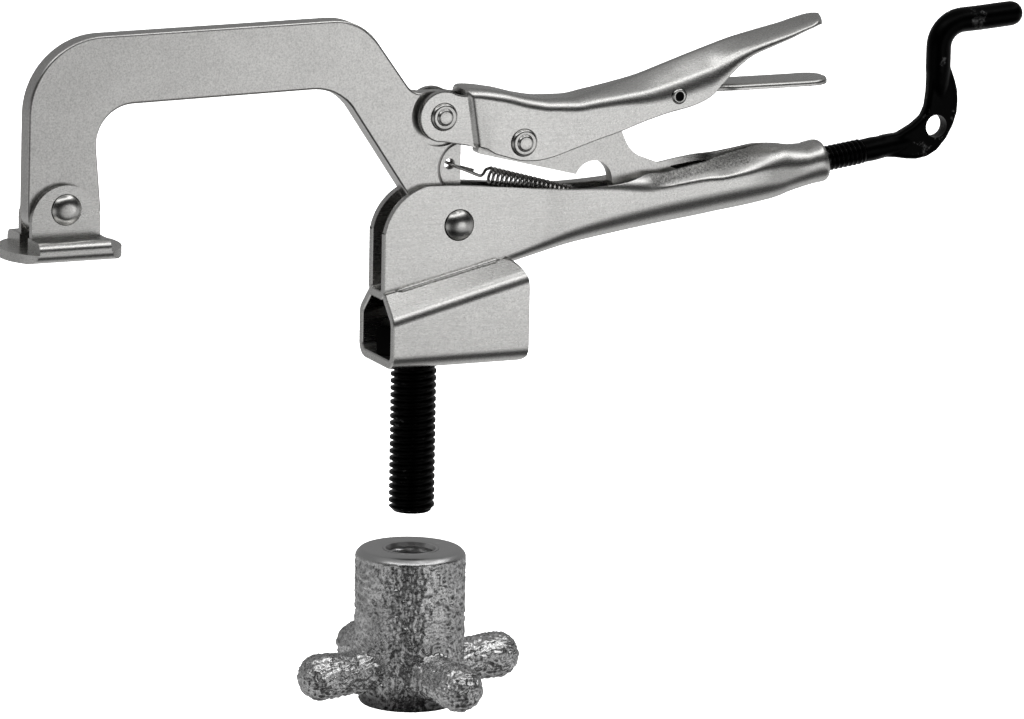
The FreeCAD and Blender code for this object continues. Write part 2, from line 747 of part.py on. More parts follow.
def rivet(label, pivot, shank, head, dome, outer_face):
    """A round shank along Y between two domed heads that bear on faces outer_face from the middle."""
    pin = cylinder(label + "_shank", "Sizes." + shank, "2 * (%s + Sizes.head_gap)" % outer_face)
    pin.Placement = FreeCAD.Placement(Vector(0, size_of(outer_face) + size("head_gap"), 0), ACROSS)
    bind(pin, Placement__Base__x="Sizes.%s_x" % pivot, Placement__Base__z="Sizes.%s_z" % pivot)
    pieces = [pin]
    ball = "(Sizes.%s ^ 2 + Sizes.%s ^ 2) / (2 * Sizes.%s)" % (head, dome, dome)
    radius = (size(head) ** 2 + size(dome) ** 2) / (2 * size(dome))
    for side, turn in ((-1, 90), (1, -90)):
        cap = DOC.addObject("Part::Sphere", "%s_head_%s" % (label, "front" if side < 0 else "back"))
        bind(cap, Radius=ball)
        cap.Angle1 = math.degrees(math.asin(1 - size(dome) / radius))
        centre = side * (size_of(outer_face) + size("head_gap") - radius + size(dome))
        cap.Placement = FreeCAD.Placement(Vector(0, centre, 0), FreeCAD.Rotation(Vector(1, 0, 0), turn))
        bind(cap, Placement__Base__x="Sizes.%s_x" % pivot, Placement__Base__z="Sizes.%s_z" % pivot)
        pieces.append(cap)
    return boolean("MultiFuse", label, *pieces)


def size_of(expression):
    """The value of an expression over the sheet's cells."""
    return float(SHEET.evalExpression(expression.replace("Sizes.", "")))


def lever_pin():
    outer = cylinder("lever_pin_outer", "Sizes.lever_pin_radius", "Sizes.lever_pin_length")
    inner = cylinder("lever_pin_inner", "Sizes.lever_pin_bore", "Sizes.lever_pin_length")
    for tube in (outer, inner):
        tube.Placement = FreeCAD.Placement(Vector(0, size("lever_pin_length") / 2, 0), ACROSS)
        bind(tube, Placement__Base__x="Sizes.lever_pivot_x", Placement__Base__z="Sizes.lever_pivot_z")
    return boolean("Cut", "release_lever_pin", outer, inner)


def bent_wire(points, radius, bend):
    """A round wire along straight runs, with a tangent arc of radius bend at each corner."""
    edges = []
    start = points[0]
    for before, corner, after in zip(points, points[1:], points[2:]):
        inward = (before - corner).normalize()
        outward = (after - corner).normalize()
        half_angle = inward.getAngle(outward) / 2
        leg = bend / math.tan(half_angle)
        middle = corner + (inward + outward).normalize() * (bend / math.sin(half_angle) - bend)
        edges.append(Part.LineSegment(start, corner + inward * leg).toShape())
        start = corner + outward * leg
        edges.append(Part.Arc(corner + inward * leg, middle, start).toShape())
    edges.append(Part.LineSegment(start, points[-1]).toShape())
    ring = Part.Wire([Part.Circle(points[0], points[1] - points[0], radius).toShape()])
    return Part.Wire(edges).makePipeShell([ring], True, False)


def return_spring():
    """The coil as a tube of its own wire's thickness, and its two hooks as bent wire."""
    slope = math.radians(size("spring_slope"))
    way = Vector(math.cos(slope), 0, math.sin(slope))
    bend = Vector(size("spring_bend_x"), 0, size("spring_bend_z"))
    start = bend + way * ((size("spring_coil_start") - bend.x) / way.x)
    end = bend + way * ((size("spring_coil_end") - bend.x) / way.x)
    wire = size("spring_wire") / 2
    bend_radius = size("spring_hook_bend")
    mean = size("spring_coil_radius") - wire
    coil = Part.makeCylinder(mean + wire, (end - start).Length, start, way)
    coil = coil.cut(Part.makeCylinder(mean - wire, (end - start).Length, start, way))
    side = Vector(0, size("spring_leg_y"), 0)
    hole = Vector(size("spring_hook_x"), 0, size("spring_hook_z"))
    up = Vector(-way.z, 0, way.x) * mean
    run = way * size("spring_hook_run")
    hook = [start + up + run, start + up - run, bend - side, hole - side, hole + side, bend + side]
    front = bent_wire(hook, wire, bend_radius)
    eye = Vector(size("anchor_x"), 0, size("anchor_eye_z"))
    beside = Vector(0, size("anchor_leg_y"), 0)
    tail = [end + up - run, end + up + run, eye + beside - 2 * run, eye + beside, eye - beside]
    rear = bent_wire(tail, wire, bend_radius)
    return shaped("return_spring", coil.fuse(front).fuse(rear).removeSplitter())


def spring_anchor():
    """A lug that stands on the channel's floor, with an eye for the spring's rear hook."""
    made = body("spring_anchor")
    sketch = sketch_on(made, "anchor_outline", "XZ_Plane")
    polygon(sketch, [
        ("Sizes.anchor_x - Sizes.anchor_half_width", "Sizes.anchor_foot"),
        ("Sizes.anchor_x + Sizes.anchor_half_width", "Sizes.anchor_foot"),
        ("Sizes.anchor_x + Sizes.anchor_half_width", "Sizes.anchor_top"),
        ("Sizes.anchor_x - Sizes.anchor_half_width", "Sizes.anchor_top"),
    ])
    pad(made, "anchor_sheet", sketch, "Sizes.anchor_plate")
    cross_bore(made, "anchor_eye", "Sizes.anchor_x", "Sizes.anchor_eye_z", "Sizes.anchor_eye_radius")
    return made


def crank_rod():
    """The round bar above the eye: up, round the bend and out to a rounded end."""
    radius = size("crank_radius")
    bend = size("crank_bend_radius")
    foot = Vector(size("crank_foot_x"), 0, size("crank_foot_z"))
    corner = Vector(foot.x, 0, size("crank_bend_z"))
    end = Vector(size("crank_end_x"), 0, size("crank_end_z"))
    up = Vector(0, 0, 1)
    out = (end - corner).normalize()
    half_turn = math.acos(up.dot(out)) / 2
    leg = bend * math.tan(half_turn)
    start, finish = corner - up * leg, corner + out * leg
    inward = (out - up).normalize()
    middle = corner + inward * (bend / math.cos(half_turn) - bend)
    path = Part.Wire([
        Part.LineSegment(foot, start).toShape(),
        Part.Arc(start, middle, finish).toShape(),
        Part.LineSegment(finish, end).toShape(),
    ])
    ring = Part.Wire([Part.Circle(foot, up, radius).toShape()])
    rod = path.makePipeShell([ring], True, False)
    return shaped("crank_rod", rod.fuse(Part.makeSphere(radius, end)).removeSplitter())


def adjusting_screw():
    turned = FreeCAD.Rotation(Vector(0, 1, 0), 90 - size("screw_slope"))
    thread = cylinder("screw_thread_cylinder", "Sizes.screw_radius", "Sizes.screw_thread")
    shank = cylinder("screw_shank", "Sizes.screw_shank_radius", "Sizes.screw_length")
    for rod in (thread, shank):
        rod.Placement = FreeCAD.Placement(Vector(), turned)
        bind(rod, Placement__Base__x="Sizes.screw_tip_x", Placement__Base__z="Sizes.screw_tip_z")
    eye = plate("crank_eye", named("eye_"), "Sizes.eye_plate")
    cross_bore(eye, "eye_bore", "Sizes.eye_hole_x", "Sizes.eye_hole_z", "Sizes.eye_hole_radius")
    return boolean("MultiFuse", "adjusting_screw", thread, shank, eye, crank_rod())


def swivel_pad():
    made = body("swivel_pad")
    middle = "Sizes.pad_pivot_x"
    depth = "Sizes.pad_half_depth"
    bottom = "Sizes.pad_bottom"
    disc = sketch_on(made, "disc_circle", "XY_Plane", bottom)
    circle(disc, middle, "0", "Sizes.pad_radius")
    sheet = made.newObject("PartDesign::Pad", "disc")
    sheet.Profile = disc
    bind(sheet, Length="Sizes.pad_gauge")
    DOC.recompute()
    chords = sketch_on(made, "chords", "XY_Plane", bottom)
    for side in ("", "-"):
        polygon(chords, [
            (middle + " - Sizes.trim_reach", side + depth),
            (middle + " + Sizes.trim_reach", side + depth),
            (middle + " + Sizes.trim_reach", side + "Sizes.trim_reach"),
            (middle + " - Sizes.trim_reach", side + "Sizes.trim_reach"),
        ])
    cut_through(made, "disc_sides", chords)
    hem = sketch_on(made, "hem_section", "YZ_Plane", middle)
    top = bottom + " + Sizes.pad_hem_height"
    polygon(hem, [("-" + depth, bottom), (depth, bottom), (depth, top), ("-" + depth, top)])
    pad(made, "hems", hem, "2 * Sizes.pad_hem_half_length")
    half = size("pad_half_depth")

    def fold(edge):
        ends = [vertex.Point for vertex in edge.Vertexes]
        long = abs(ends[0].x - ends[-1].x) > size("pad_hem_half_length")
        level = abs(ends[0].z - ends[-1].z) < 0.01
        return long and level and all(abs(abs(end.y) - half) < 0.001 for end in ends)

    round_edges(made, "folds", "Sizes.pad_fold", fold)
    ears = sketch_on(made, "ear_outline", "XZ_Plane")
    reach = "Sizes.pad_ear_half_width"
    centre = "Sizes.pad_ear_centre_z"
    low = bottom + " + Sizes.pad_gauge"
    polygon(ears, [
        ("%s - %s" % (middle, reach), low),
        ("%s + %s" % (middle, reach), low),
        ("%s + %s" % (middle, reach), centre),
        ("%s - %s" % (middle, reach), centre),
    ])
    pad(made, "ears", ears, "2 * Sizes.pad_ear_outer")
    crown = sketch_on(made, "ear_crown", "XZ_Plane")
    circle(crown, middle, centre, reach)
    pad(made, "ear_crowns", crown, "2 * Sizes.pad_ear_outer")
    gap = sketch_on(made, "gap_outline", "XZ_Plane")
    polygon(gap, [
        (middle + " - Sizes.trim_reach", low),
        (middle + " + Sizes.trim_reach", low),
        (middle + " + Sizes.trim_reach", centre + " + Sizes.trim_reach"),
        (middle + " - Sizes.trim_reach", centre + " + Sizes.trim_reach"),
    ])
    slot = made.newObject("PartDesign::Pocket", "gap_between_ears")
    slot.Profile = gap
    slot.SideType = "Symmetric"
    bind(slot, Length="2 * Sizes.pad_ear_inner")
    DOC.recompute()
    cross_bore(made, "pad_bore", middle, "Sizes.pad_pivot_z", "Sizes.arm_rivet_shank + Sizes.fixed_gap")
    return made


def build():
    """Every piece as (node name, finished object)."""
    fill_sheet()
    grip_face = "Sizes.grip_rivet_half"
    ear_face = "Sizes.ear_inner + Sizes.grip_gauge"
    return {
        "fixed_handle": fixed_handle(),
        "base_channel": base_channel(),
        "weld_bead_front": weld_bead("weld_bead_front", -1),
        "weld_bead_back": weld_bead("weld_bead_back", 1),
        "mounting_bolt": mounting_bolt(),
        "hand_nut": hand_nut(),
        "main_pivot_rivet": rivet("main_pivot_rivet", "main_pivot", "main_rivet_shank", "main_rivet_head",
                                  "main_rivet_dome", "Sizes.cheek_front_half"),
        "spring_anchor": spring_anchor(),
        "return_spring": return_spring(),
        "jaw_arm": jaw_arm(),
        "upper_handle": upper_handle(),
        "arm_handle_rivet": rivet("arm_handle_rivet", "arm_pivot", "arm_rivet_shank", "arm_rivet_head",
                                  "arm_rivet_dome", ear_face),
        "handle_link_rivet": rivet("handle_link_rivet", "link_pivot", "arm_rivet_shank", "arm_rivet_head",
                                   "arm_rivet_dome", grip_face),
        "toggle_link": toggle_link(),
        "release_lever": release_lever(),
        "release_lever_pin": lever_pin(),
        "swivel_pad": swivel_pad(),
        "pad_rivet": rivet("pad_rivet", "pad_pivot", "arm_rivet_shank", "pad_rivet_head",
                           "main_rivet_dome", "Sizes.pad_ear_outer"),
        "adjusting_screw": adjusting_screw(),
    }


def export(pieces):
    """Check every object of the document, then write one STEP file for each piece."""
    DOC.recompute()
    failed = [thing.Name for thing in DOC.Objects if {"Invalid", "Error"} & set(thing.State)]
    if failed:
        raise RuntimeError("failed objects: " + ", ".join(failed))
    for node, piece in pieces.items():
        piece.Label = node
        if piece.Shape.isNull() or not piece.Shape.isValid():
            raise RuntimeError(node + " has no valid shape")
        print("%-20s %2d solid %10.1f mm3" % (node, len(piece.Shape.Solids), piece.Shape.Volume))
    os.makedirs("parts", exist_ok=True)
    for node, piece in pieces.items():
        piece.Shape.exportStep(os.path.join("parts", node + ".step"))


export(build())
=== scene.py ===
import math

import bmesh
import bpy
import numpy as np
from mathutils import Matrix, Vector, noise


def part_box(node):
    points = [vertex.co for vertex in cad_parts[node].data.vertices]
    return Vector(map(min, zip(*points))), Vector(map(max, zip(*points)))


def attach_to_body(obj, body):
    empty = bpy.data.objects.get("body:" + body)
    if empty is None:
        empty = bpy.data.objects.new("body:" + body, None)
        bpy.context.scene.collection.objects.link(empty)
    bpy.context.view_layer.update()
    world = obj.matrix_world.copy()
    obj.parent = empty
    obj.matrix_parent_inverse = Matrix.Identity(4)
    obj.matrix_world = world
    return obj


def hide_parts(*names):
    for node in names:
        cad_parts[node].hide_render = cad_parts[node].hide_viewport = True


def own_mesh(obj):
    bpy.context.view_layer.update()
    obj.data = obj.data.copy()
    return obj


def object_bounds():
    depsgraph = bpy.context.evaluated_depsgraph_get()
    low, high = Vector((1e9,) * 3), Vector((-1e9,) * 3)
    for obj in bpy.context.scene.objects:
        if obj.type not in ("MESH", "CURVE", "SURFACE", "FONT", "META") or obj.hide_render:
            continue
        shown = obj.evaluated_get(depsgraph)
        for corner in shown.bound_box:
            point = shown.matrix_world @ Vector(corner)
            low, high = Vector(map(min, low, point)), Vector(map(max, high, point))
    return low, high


# Locking C clamp on a boxed base, with its bolt and cast hand nut. Shapes below are in millimetres in the
# row frame and are scaled to metres where a mesh is made.
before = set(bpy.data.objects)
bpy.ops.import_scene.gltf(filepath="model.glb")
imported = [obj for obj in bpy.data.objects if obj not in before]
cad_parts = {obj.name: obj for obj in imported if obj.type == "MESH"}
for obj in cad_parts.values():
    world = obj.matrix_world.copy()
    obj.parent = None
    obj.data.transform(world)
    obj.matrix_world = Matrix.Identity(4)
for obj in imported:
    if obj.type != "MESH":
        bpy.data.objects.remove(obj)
CAD_BOX = [list(map(float, corner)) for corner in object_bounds()]
MM = 0.001
NUT_TOP, NUT_BOTTOM, NUT_RADIUS = -52.3, -95.9, 15.2
scene = bpy.context.scene

# Pivots and axes, as in the CAD.
MAIN_PIVOT = (10.34, 37.83)
ARM_PIVOT = (5.53, 67.7)
LINK_PIVOT = (28.52, 59.68)
LEVER_PIVOT = (74.56, 70.03)
PAD_PIVOT = (-102.6, 48.67)
SCREW_TIP = np.array([85.3, 0.0, 43.56])
SCREW_SLOPE = math.radians(7.8)
SCREW_WAY = np.array([math.cos(SCREW_SLOPE), 0.0, math.sin(SCREW_SLOPE)])

# Bent sheets as cross-sections along x: closed side z, open side z, half width, the bend's reach across
# and its height, and for the fixed handle the radius and the angle in degrees of the lips over its open side.
FIXED_HANDLE = np.array([
    (-11.4, 18.0, 49.2, 5.6, 3.2, 3.2, 4.0, 2.0),
    (6.0, 21.6, 48.8, 5.6, 3.2, 3.2, 4.0, 2.0),
    (24.0, 25.4, 47.4, 5.6, 3.3, 3.3, 4.0, 3.0),
    (34.0, 27.7, 46.5, 5.9, 4.2, 4.2, 4.0, 5.0),
    (44.0, 30.0, 46.0, 6.6, 5.4, 5.4, 4.2, 10.0),
    (57.0, 32.0, 46.6, 7.2, 6.6, 6.6, 5.0, 26.0),
    (68.0, 33.6, 49.0, 7.5, 7.0, 7.0, 6.6, 58.0),
    (84.0, 35.6, 51.9, 7.6, 7.3, 7.3, 7.3, 68.0),
    (89.0, 36.3, 52.5, 7.6, 7.3, 7.3, 7.35, 82.0),
    (96.0, 37.2, 53.5, 7.6, 7.3, 7.3, 7.4, 87.0),
    (102.0, 38.1, 54.3, 7.4, 7.1, 7.1, 7.2, 89.0),
    (107.0, 39.0, 54.1, 6.8, 6.6, 6.6, 6.7, 90.0),
    (112.0, 40.6, 53.5, 6.2, 6.1, 6.1, 6.2, 90.0),
    (115.0, 41.4, 53.5, 6.0, 5.95, 5.95, 6.0, 90.0),
    (118.5, 42.2, 54.0, 5.98, 5.95, 5.95, 5.98, 90.0),
    (120.8, 42.5, 54.3, 5.98, 5.95, 5.95, 5.98, 90.0),
])
UPPER_HANDLE = np.array([
    (12.0, 74.8, 59.2, 5.3, 2.6, 2.4),
    (12.4, 74.8, 59.1, 5.6, 2.6, 2.4),
    (12.9, 74.9, 59.0, 6.45, 2.8, 2.6),
    (13.5, 75.0, 58.9, 6.62, 2.9, 2.8),
    (22.5, 73.8, 56.2, 6.9, 3.2, 3.1),
    (29.0, 72.1, 54.5, 6.9, 3.2, 3.2),
    (32.5, 71.4, 54.4, 6.9, 3.3, 3.3),
    (36.2, 70.9, 54.9, 6.9, 3.4, 3.4),
    (43.4, 70.8, 57.0, 6.95, 3.9, 3.8),
    (50.5, 72.1, 59.2, 7.0, 4.8, 4.6),
    (57.6, 73.7, 61.2, 7.0, 5.8, 5.8),
    (64.8, 75.5, 63.6, 7.0, 6.5, 7.6),
    (72.0, 77.9, 65.6, 7.1, 6.9, 9.4),
    (78.3, 80.0, 66.9, 7.1, 7.0, 10.4),
    (84.3, 81.9, 69.3, 7.1, 7.0, 10.6),
    (88.5, 83.2, 73.5, 7.1, 7.0, 8.9),
    (93.0, 84.5, 77.6, 7.0, 6.9, 6.5),
    (97.0, 85.4, 80.2, 6.9, 6.8, 5.0),
    (102.0, 86.5, 82.0, 6.7, 6.6, 4.3),
    (108.2, 87.8, 84.1, 6.5, 6.3, 3.5),
    (114.2, 89.3, 86.4, 6.2, 5.9, 2.8),
    (118.0, 90.0, 87.4, 5.9, 5.6, 2.4),
    (119.9, 89.9, 87.2, 5.8, 5.5, 2.4),
])
RELEASE_LEVER = np.array([
    (60.2, 69.5, 66.5, 4.6, 1.3, 1.3),
    (66.0, 71.5, 66.7, 4.6, 1.3, 1.3),
    (73.0, 73.1, 66.9, 4.6, 1.3, 1.3),
    (79.0, 72.8, 69.0, 4.6, 1.3, 1.3),
    (85.0, 72.4, 70.2, 4.7, 1.3, 1.3),
    (89.5, 72.3, 70.4, 5.4, 1.2, 1.2),
    (93.5, 72.3, 70.5, 6.4, 1.2, 1.2),
    (112.0, 72.3, 70.6, 6.5, 1.2, 1.2),
    (121.6, 72.5, 70.8, 6.5, 1.2, 1.2),
])


# ---- materials ----------------------------------------------------------------------------------

def material(name):
    """A new material and its node tools: (material, shader, add node, link)."""
    made = bpy.data.materials.new(name)
    made.use_nodes = True
    tree = made.node_tree
    shader = tree.nodes["Principled BSDF"]

    def add(kind, **values):
        node = tree.nodes.new("ShaderNode" + kind)
        for key, value in values.items():
            if hasattr(node, key):
                setattr(node, key, value)
            else:
                node.inputs[key.replace("_", " ")].default_value = value
        return node

    return made, shader, add, tree.links.new


def ramp(add, link, source, stops):
    """A colour ramp over a value: stops are (place, grey or colour)."""
    node = add("ValToRGB")
    band = node.color_ramp
    while len(band.elements) < len(stops):
        band.elements.new(0.5)
    for element, (place, colour) in zip(band.elements, stops):
        element.position = place
        if not isinstance(colour, tuple):
            colour = (colour, colour, colour)
        element.color = (*colour, 1.0)
    link(source, node.inputs["Fac"])
    return node.outputs["Color"]


def sheet_steel(name, tint, rough, streak=0.5, speckle=1.0, grain_and_shade=None):
    """Zinc plate over pressed steel: fine speckle, soft blotches and faint draw lines along the part."""
    made, shader, add, link = material(name)
    place = add("TexCoord").outputs["Object"]
    fine = add("TexNoise", Scale=2100.0, Detail=4.0, Roughness=0.75)
    soft = add("TexNoise", Scale=70.0, Detail=4.0, Roughness=0.6)
    drawn = add("Mapping")
    drawn.inputs["Scale"].default_value = (60.0, 700.0, 1700.0)
    lines = add("TexNoise", Scale=1.0, Detail=3.0, Roughness=0.6)
    link(place, fine.inputs["Vector"])
    link(place, soft.inputs["Vector"])
    link(place, drawn.inputs["Vector"])
    link(drawn.outputs["Vector"], lines.inputs["Vector"])
    dots = ramp(add, link, fine.outputs["Fac"], [(0.28, 0.66), (0.50, 0.97), (0.72, 1.22)])
    clouds = ramp(add, link, soft.outputs["Fac"], [(0.3, 0.95), (0.7, 1.04)])
    colour = add("Mix", data_type="RGBA", blend_type="MULTIPLY")
    colour.inputs[0].default_value = 0.85 * speckle
    colour.inputs[6].default_value = (*tint, 1.0)
    link(dots, colour.inputs[7])
    blotched = add("Mix", data_type="RGBA", blend_type="MULTIPLY")
    blotched.inputs[0].default_value = 1.0
    link(colour.outputs[2], blotched.inputs[6])
    link(clouds, blotched.inputs[7])
    last_colour = blotched.outputs[2]
    gloss = add("MapRange", To_Min=rough - 0.01, To_Max=rough + 0.02)
    gloss.inputs["From Min"].default_value = 0.3
    gloss.inputs["From Max"].default_value = 0.7
    link(lines.outputs["Fac"], gloss.inputs["Value"])
    last_rough = gloss.outputs["Result"]
    bump = add("Bump", Strength=0.30 * speckle, Distance=0.00007)
    link(fine.outputs["Fac"], bump.inputs["Height"])
    brushed = add("Bump", Strength=streak, Distance=0.00004)
    link(lines.outputs["Fac"], brushed.inputs["Height"])
    link(bump.outputs["Normal"], brushed.inputs["Normal"])
    last_normal = brushed.outputs["Normal"]
    if grain_and_shade:
        mask = add("Attribute", attribute_name=grain_and_shade)
        crackle = add("TexNoise", Scale=1900.0, Detail=4.0, Roughness=0.75)
        link(place, crackle.inputs["Vector"])
        # Painted shade: the colour darkens in the crackle's hollows over the lip's pressed facet; the crackle bump
        # and roughness are its real grain.
        pit_shade = ramp(add, link, crackle.outputs["Fac"], [(0.35, 0.18), (0.5, 0.50), (0.66, 1.0)])
        darker = add("Mix", data_type="RGBA", blend_type="MULTIPLY")
        link(mask.outputs["Fac"], darker.inputs[0])
        link(last_colour, darker.inputs[6])
        link(pit_shade, darker.inputs[7])
        last_colour = darker.outputs[2]
        rougher = add("Math", operation="MULTIPLY_ADD")
        link(mask.outputs["Fac"], rougher.inputs[0])
        rougher.inputs[1].default_value = 0.14
        link(last_rough, rougher.inputs[2])
        last_rough = rougher.outputs["Value"]
        coarse = add("Bump", Distance=0.00016)
        link(mask.outputs["Fac"], coarse.inputs["Strength"])
        link(crackle.outputs["Fac"], coarse.inputs["Height"])
        link(last_normal, coarse.inputs["Normal"])
        last_normal = coarse.outputs["Normal"]
    link(last_colour, shader.inputs["Base Color"])
    link(last_rough, shader.inputs["Roughness"])
    link(last_normal, shader.inputs["Normal"])
    shader.inputs["Metallic"].default_value = 1.0
    return made


def dark_steel(name, dark, light, rough, scale, bump_strength, bump_distance, wear=0.58, cast_with_shade=False):
    """Dark metal with lighter scuffs: black oxide, or a cast skin with painted shade in its pits and painted shade
    darkening its foot.
    """
    made, shader, add, link = material(name)
    place = add("TexCoord").outputs["Object"]
    fine = add("TexNoise", Scale=scale, Detail=5.0, Roughness=0.65)
    soft = add("TexNoise", Scale=scale / 9, Detail=5.0, Roughness=0.7)
    for texture in (fine, soft):
        link(place, texture.inputs["Vector"])
    scuffs = ramp(add, link, soft.outputs["Fac"], [(0.40, dark), (wear, dark), (wear + 0.14, light)])
    if cast_with_shade:
        # Painted shade: the colour darkens where the fine bump is low, as shade in the skin's pits.
        pit_shade = ramp(add, link, fine.outputs["Fac"], [(0.34, 0.25), (0.46, 0.80), (0.55, 1.0)])
        # Painted shade: the colour darkens towards the nut's bottom face, as the floor's contact shade.
        foot = add("SeparateXYZ")
        link(place, foot.inputs[0])
        level = add("MapRange")
        level.inputs["From Min"].default_value = (NUT_BOTTOM - 1.0) * MM
        level.inputs["From Max"].default_value = (NUT_BOTTOM + 15.0) * MM
        link(foot.outputs["Z"], level.inputs["Value"])
        painted_foot_shade = ramp(add, link, level.outputs["Result"], [(0.0, 0.04), (0.28, 0.25), (0.55, 1.0)])
        for layer in (pit_shade, painted_foot_shade):
            darker = add("Mix", data_type="RGBA", blend_type="MULTIPLY")
            darker.inputs[0].default_value = 1.0
            link(scuffs, darker.inputs[6])
            link(layer, darker.inputs[7])
            scuffs = darker.outputs[2]
    link(scuffs, shader.inputs["Base Color"])
    gloss = add("MapRange", To_Min=rough - 0.08, To_Max=rough + 0.12)
    link(fine.outputs["Fac"], gloss.inputs["Value"])
    link(gloss.outputs["Result"], shader.inputs["Roughness"])
    bump = add("Bump", Strength=bump_strength, Distance=bump_distance)
    link(fine.outputs["Fac"], bump.inputs["Height"])
    link(bump.outputs["Normal"], shader.inputs["Normal"])
    shader.inputs["Metallic"].default_value = 1.0
    return made


ZINC = sheet_steel("zinc_plate", (0.66, 0.655, 0.64), 0.27, streak=0.04, grain_and_shade="lip_grain_and_shade")
ZINC_ARM = sheet_steel("zinc_plate_arm", (0.66, 0.655, 0.64), 0.29, streak=0.02, speckle=1.15)
RIVET = sheet_steel("rivet_steel", (0.60, 0.595, 0.58), 0.24, streak=0.1, speckle=0.6)
SPRING = sheet_steel("spring_steel", (0.50, 0.49, 0.48), 0.25, streak=0.1, speckle=0.5)
BLACK = dark_steel("black_oxide", (0.004, 0.004, 0.004), (0.20, 0.20, 0.20), 0.32, 900.0, 0.5, 0.00008, 0.60)
CAST = dark_steel("cast_nut", (0.66, 0.66, 0.66), (0.92, 0.92, 0.92), 0.18, 1500.0, 0.8, 0.00016, 0.42, True)
MACHINED = dark_steel("machined_rim", (0.62, 0.62, 0.62), (0.80, 0.80, 0.80), 0.30, 2400.0, 0.4, 0.00005)


# ---- mesh tools ---------------------------------------------------------------------------------

def mesh_object(name, verts, faces, skin, angle=38.0):
    """A mesh object from millimetre points, with outward normals and sharp edges past an angle."""
    mesh = bpy.data.meshes.new(name)
    mesh.from_pydata((np.asarray(verts, float) * MM).tolist(), [], [list(map(int, face)) for face in faces])
    work = bmesh.new()
    work.from_mesh(mesh)
    bmesh.ops.remove_doubles(work, verts=work.verts, dist=1e-7)
    bmesh.ops.recalc_face_normals(work, faces=work.faces)
    work.to_mesh(mesh)
    work.free()
    mesh.shade_smooth()
    mesh.set_sharp_from_angle(angle=math.radians(angle))
    mesh.materials.append(skin)
    made = bpy.data.objects.new(name, mesh)
    scene.collection.objects.link(made)
    return made


def attach(made, body, slot, *nodes):
    """Ride on a body and stand for CAD nodes, which are hidden; slot is not used."""
    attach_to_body(made, body)
    if nodes:
        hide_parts(*nodes)
    return made


def join(*parts):
    """Several (verts, faces) as one."""
    verts, faces, base = [], [], 0
    for points, polygons in parts:
        verts.append(np.asarray(points, float))
        faces += [[index + base for index in face] for face in polygons]
        base += len(points)
    return np.vstack(verts), faces


def skin_rings(rings, start="fan", end="fan"):
    """Quads between closed rings of equal count; each end is a fan, a strip across a sheet, or open."""
    count = len(rings[0])
    verts = np.vstack(rings)
    faces = []
    for row in range(len(rings) - 1):
        a, b = row * count, (row + 1) * count
        for k in range(count):
            n = (k + 1) % count
            faces.append((a + k, a + n, b + n, b + k))
    for kind, base in ((start, 0), (end, (len(rings) - 1) * count)):
        if kind == "fan":
            faces.append([base + k for k in range(count)])
        elif kind == "strip":
            for k in range(count // 2 - 1):
                faces.append((base + k, base + k + 1, base + count - 2 - k, base + count - 1 - k))
    return verts, faces


def smooth_columns(table, xs):
    """Monotone cubic interpolation of a table whose first column is x."""
    x, y = table[:, 0], table[:, 1:]
    step = np.diff(x)[:, None]
    slope = np.diff(y, axis=0) / step
    tangent = np.zeros_like(y)
    before, after = slope[:-1], slope[1:]
    same = before * after > 0
    w1, w2 = 2 * step[1:] + step[:-1], step[1:] + 2 * step[:-1]
    with np.errstate(divide="ignore", invalid="ignore"):
        tangent[1:-1] = np.where(same, (w1 + w2) / (w1 / before + w2 / after), 0.0)
    tangent[0], tangent[-1] = slope[0], slope[-1]
    k = np.clip(np.searchsorted(x, xs) - 1, 0, len(x) - 2)
    h = (x[k + 1] - x[k])[:, None]
    t = ((xs - x[k]) / (x[k + 1] - x[k]))[:, None]
    return (y[k] * (1 + 2 * t) * (1 - t) ** 2 + y[k + 1] * t ** 2 * (3 - 2 * t)
            + tangent[k] * h * t * (1 - t) ** 2 + tangent[k + 1] * h * t ** 2 * (t - 1))


# How far round the lip's curl, in radians, its pressed flat begins.
PRESS_START = 0.22


def bend_curve(gable, count=25):
    """Across and up from 0 to 1 round a bend: an arc, or at gable 1 a slope between two tight turns."""
    share = np.linspace(0.0, 1.0, count)
    sloped = np.interp(share, [0.0, 0.10, 0.56, 0.64, 0.76, 1.0], [0.0, 34.0, 46.0, 60.0, 70.0, 90.0])
    tilt = np.radians((1 - gable) * 90.0 * share + gable * sloped)
    middle = (tilt[1:] + tilt[:-1]) / 2
    across = np.concatenate([[0.0], np.cumsum(np.cos(middle))])
    up = np.concatenate([[0.0], np.cumsum(np.sin(middle))])
    return list(zip(across / across[-1], up / up[-1]))


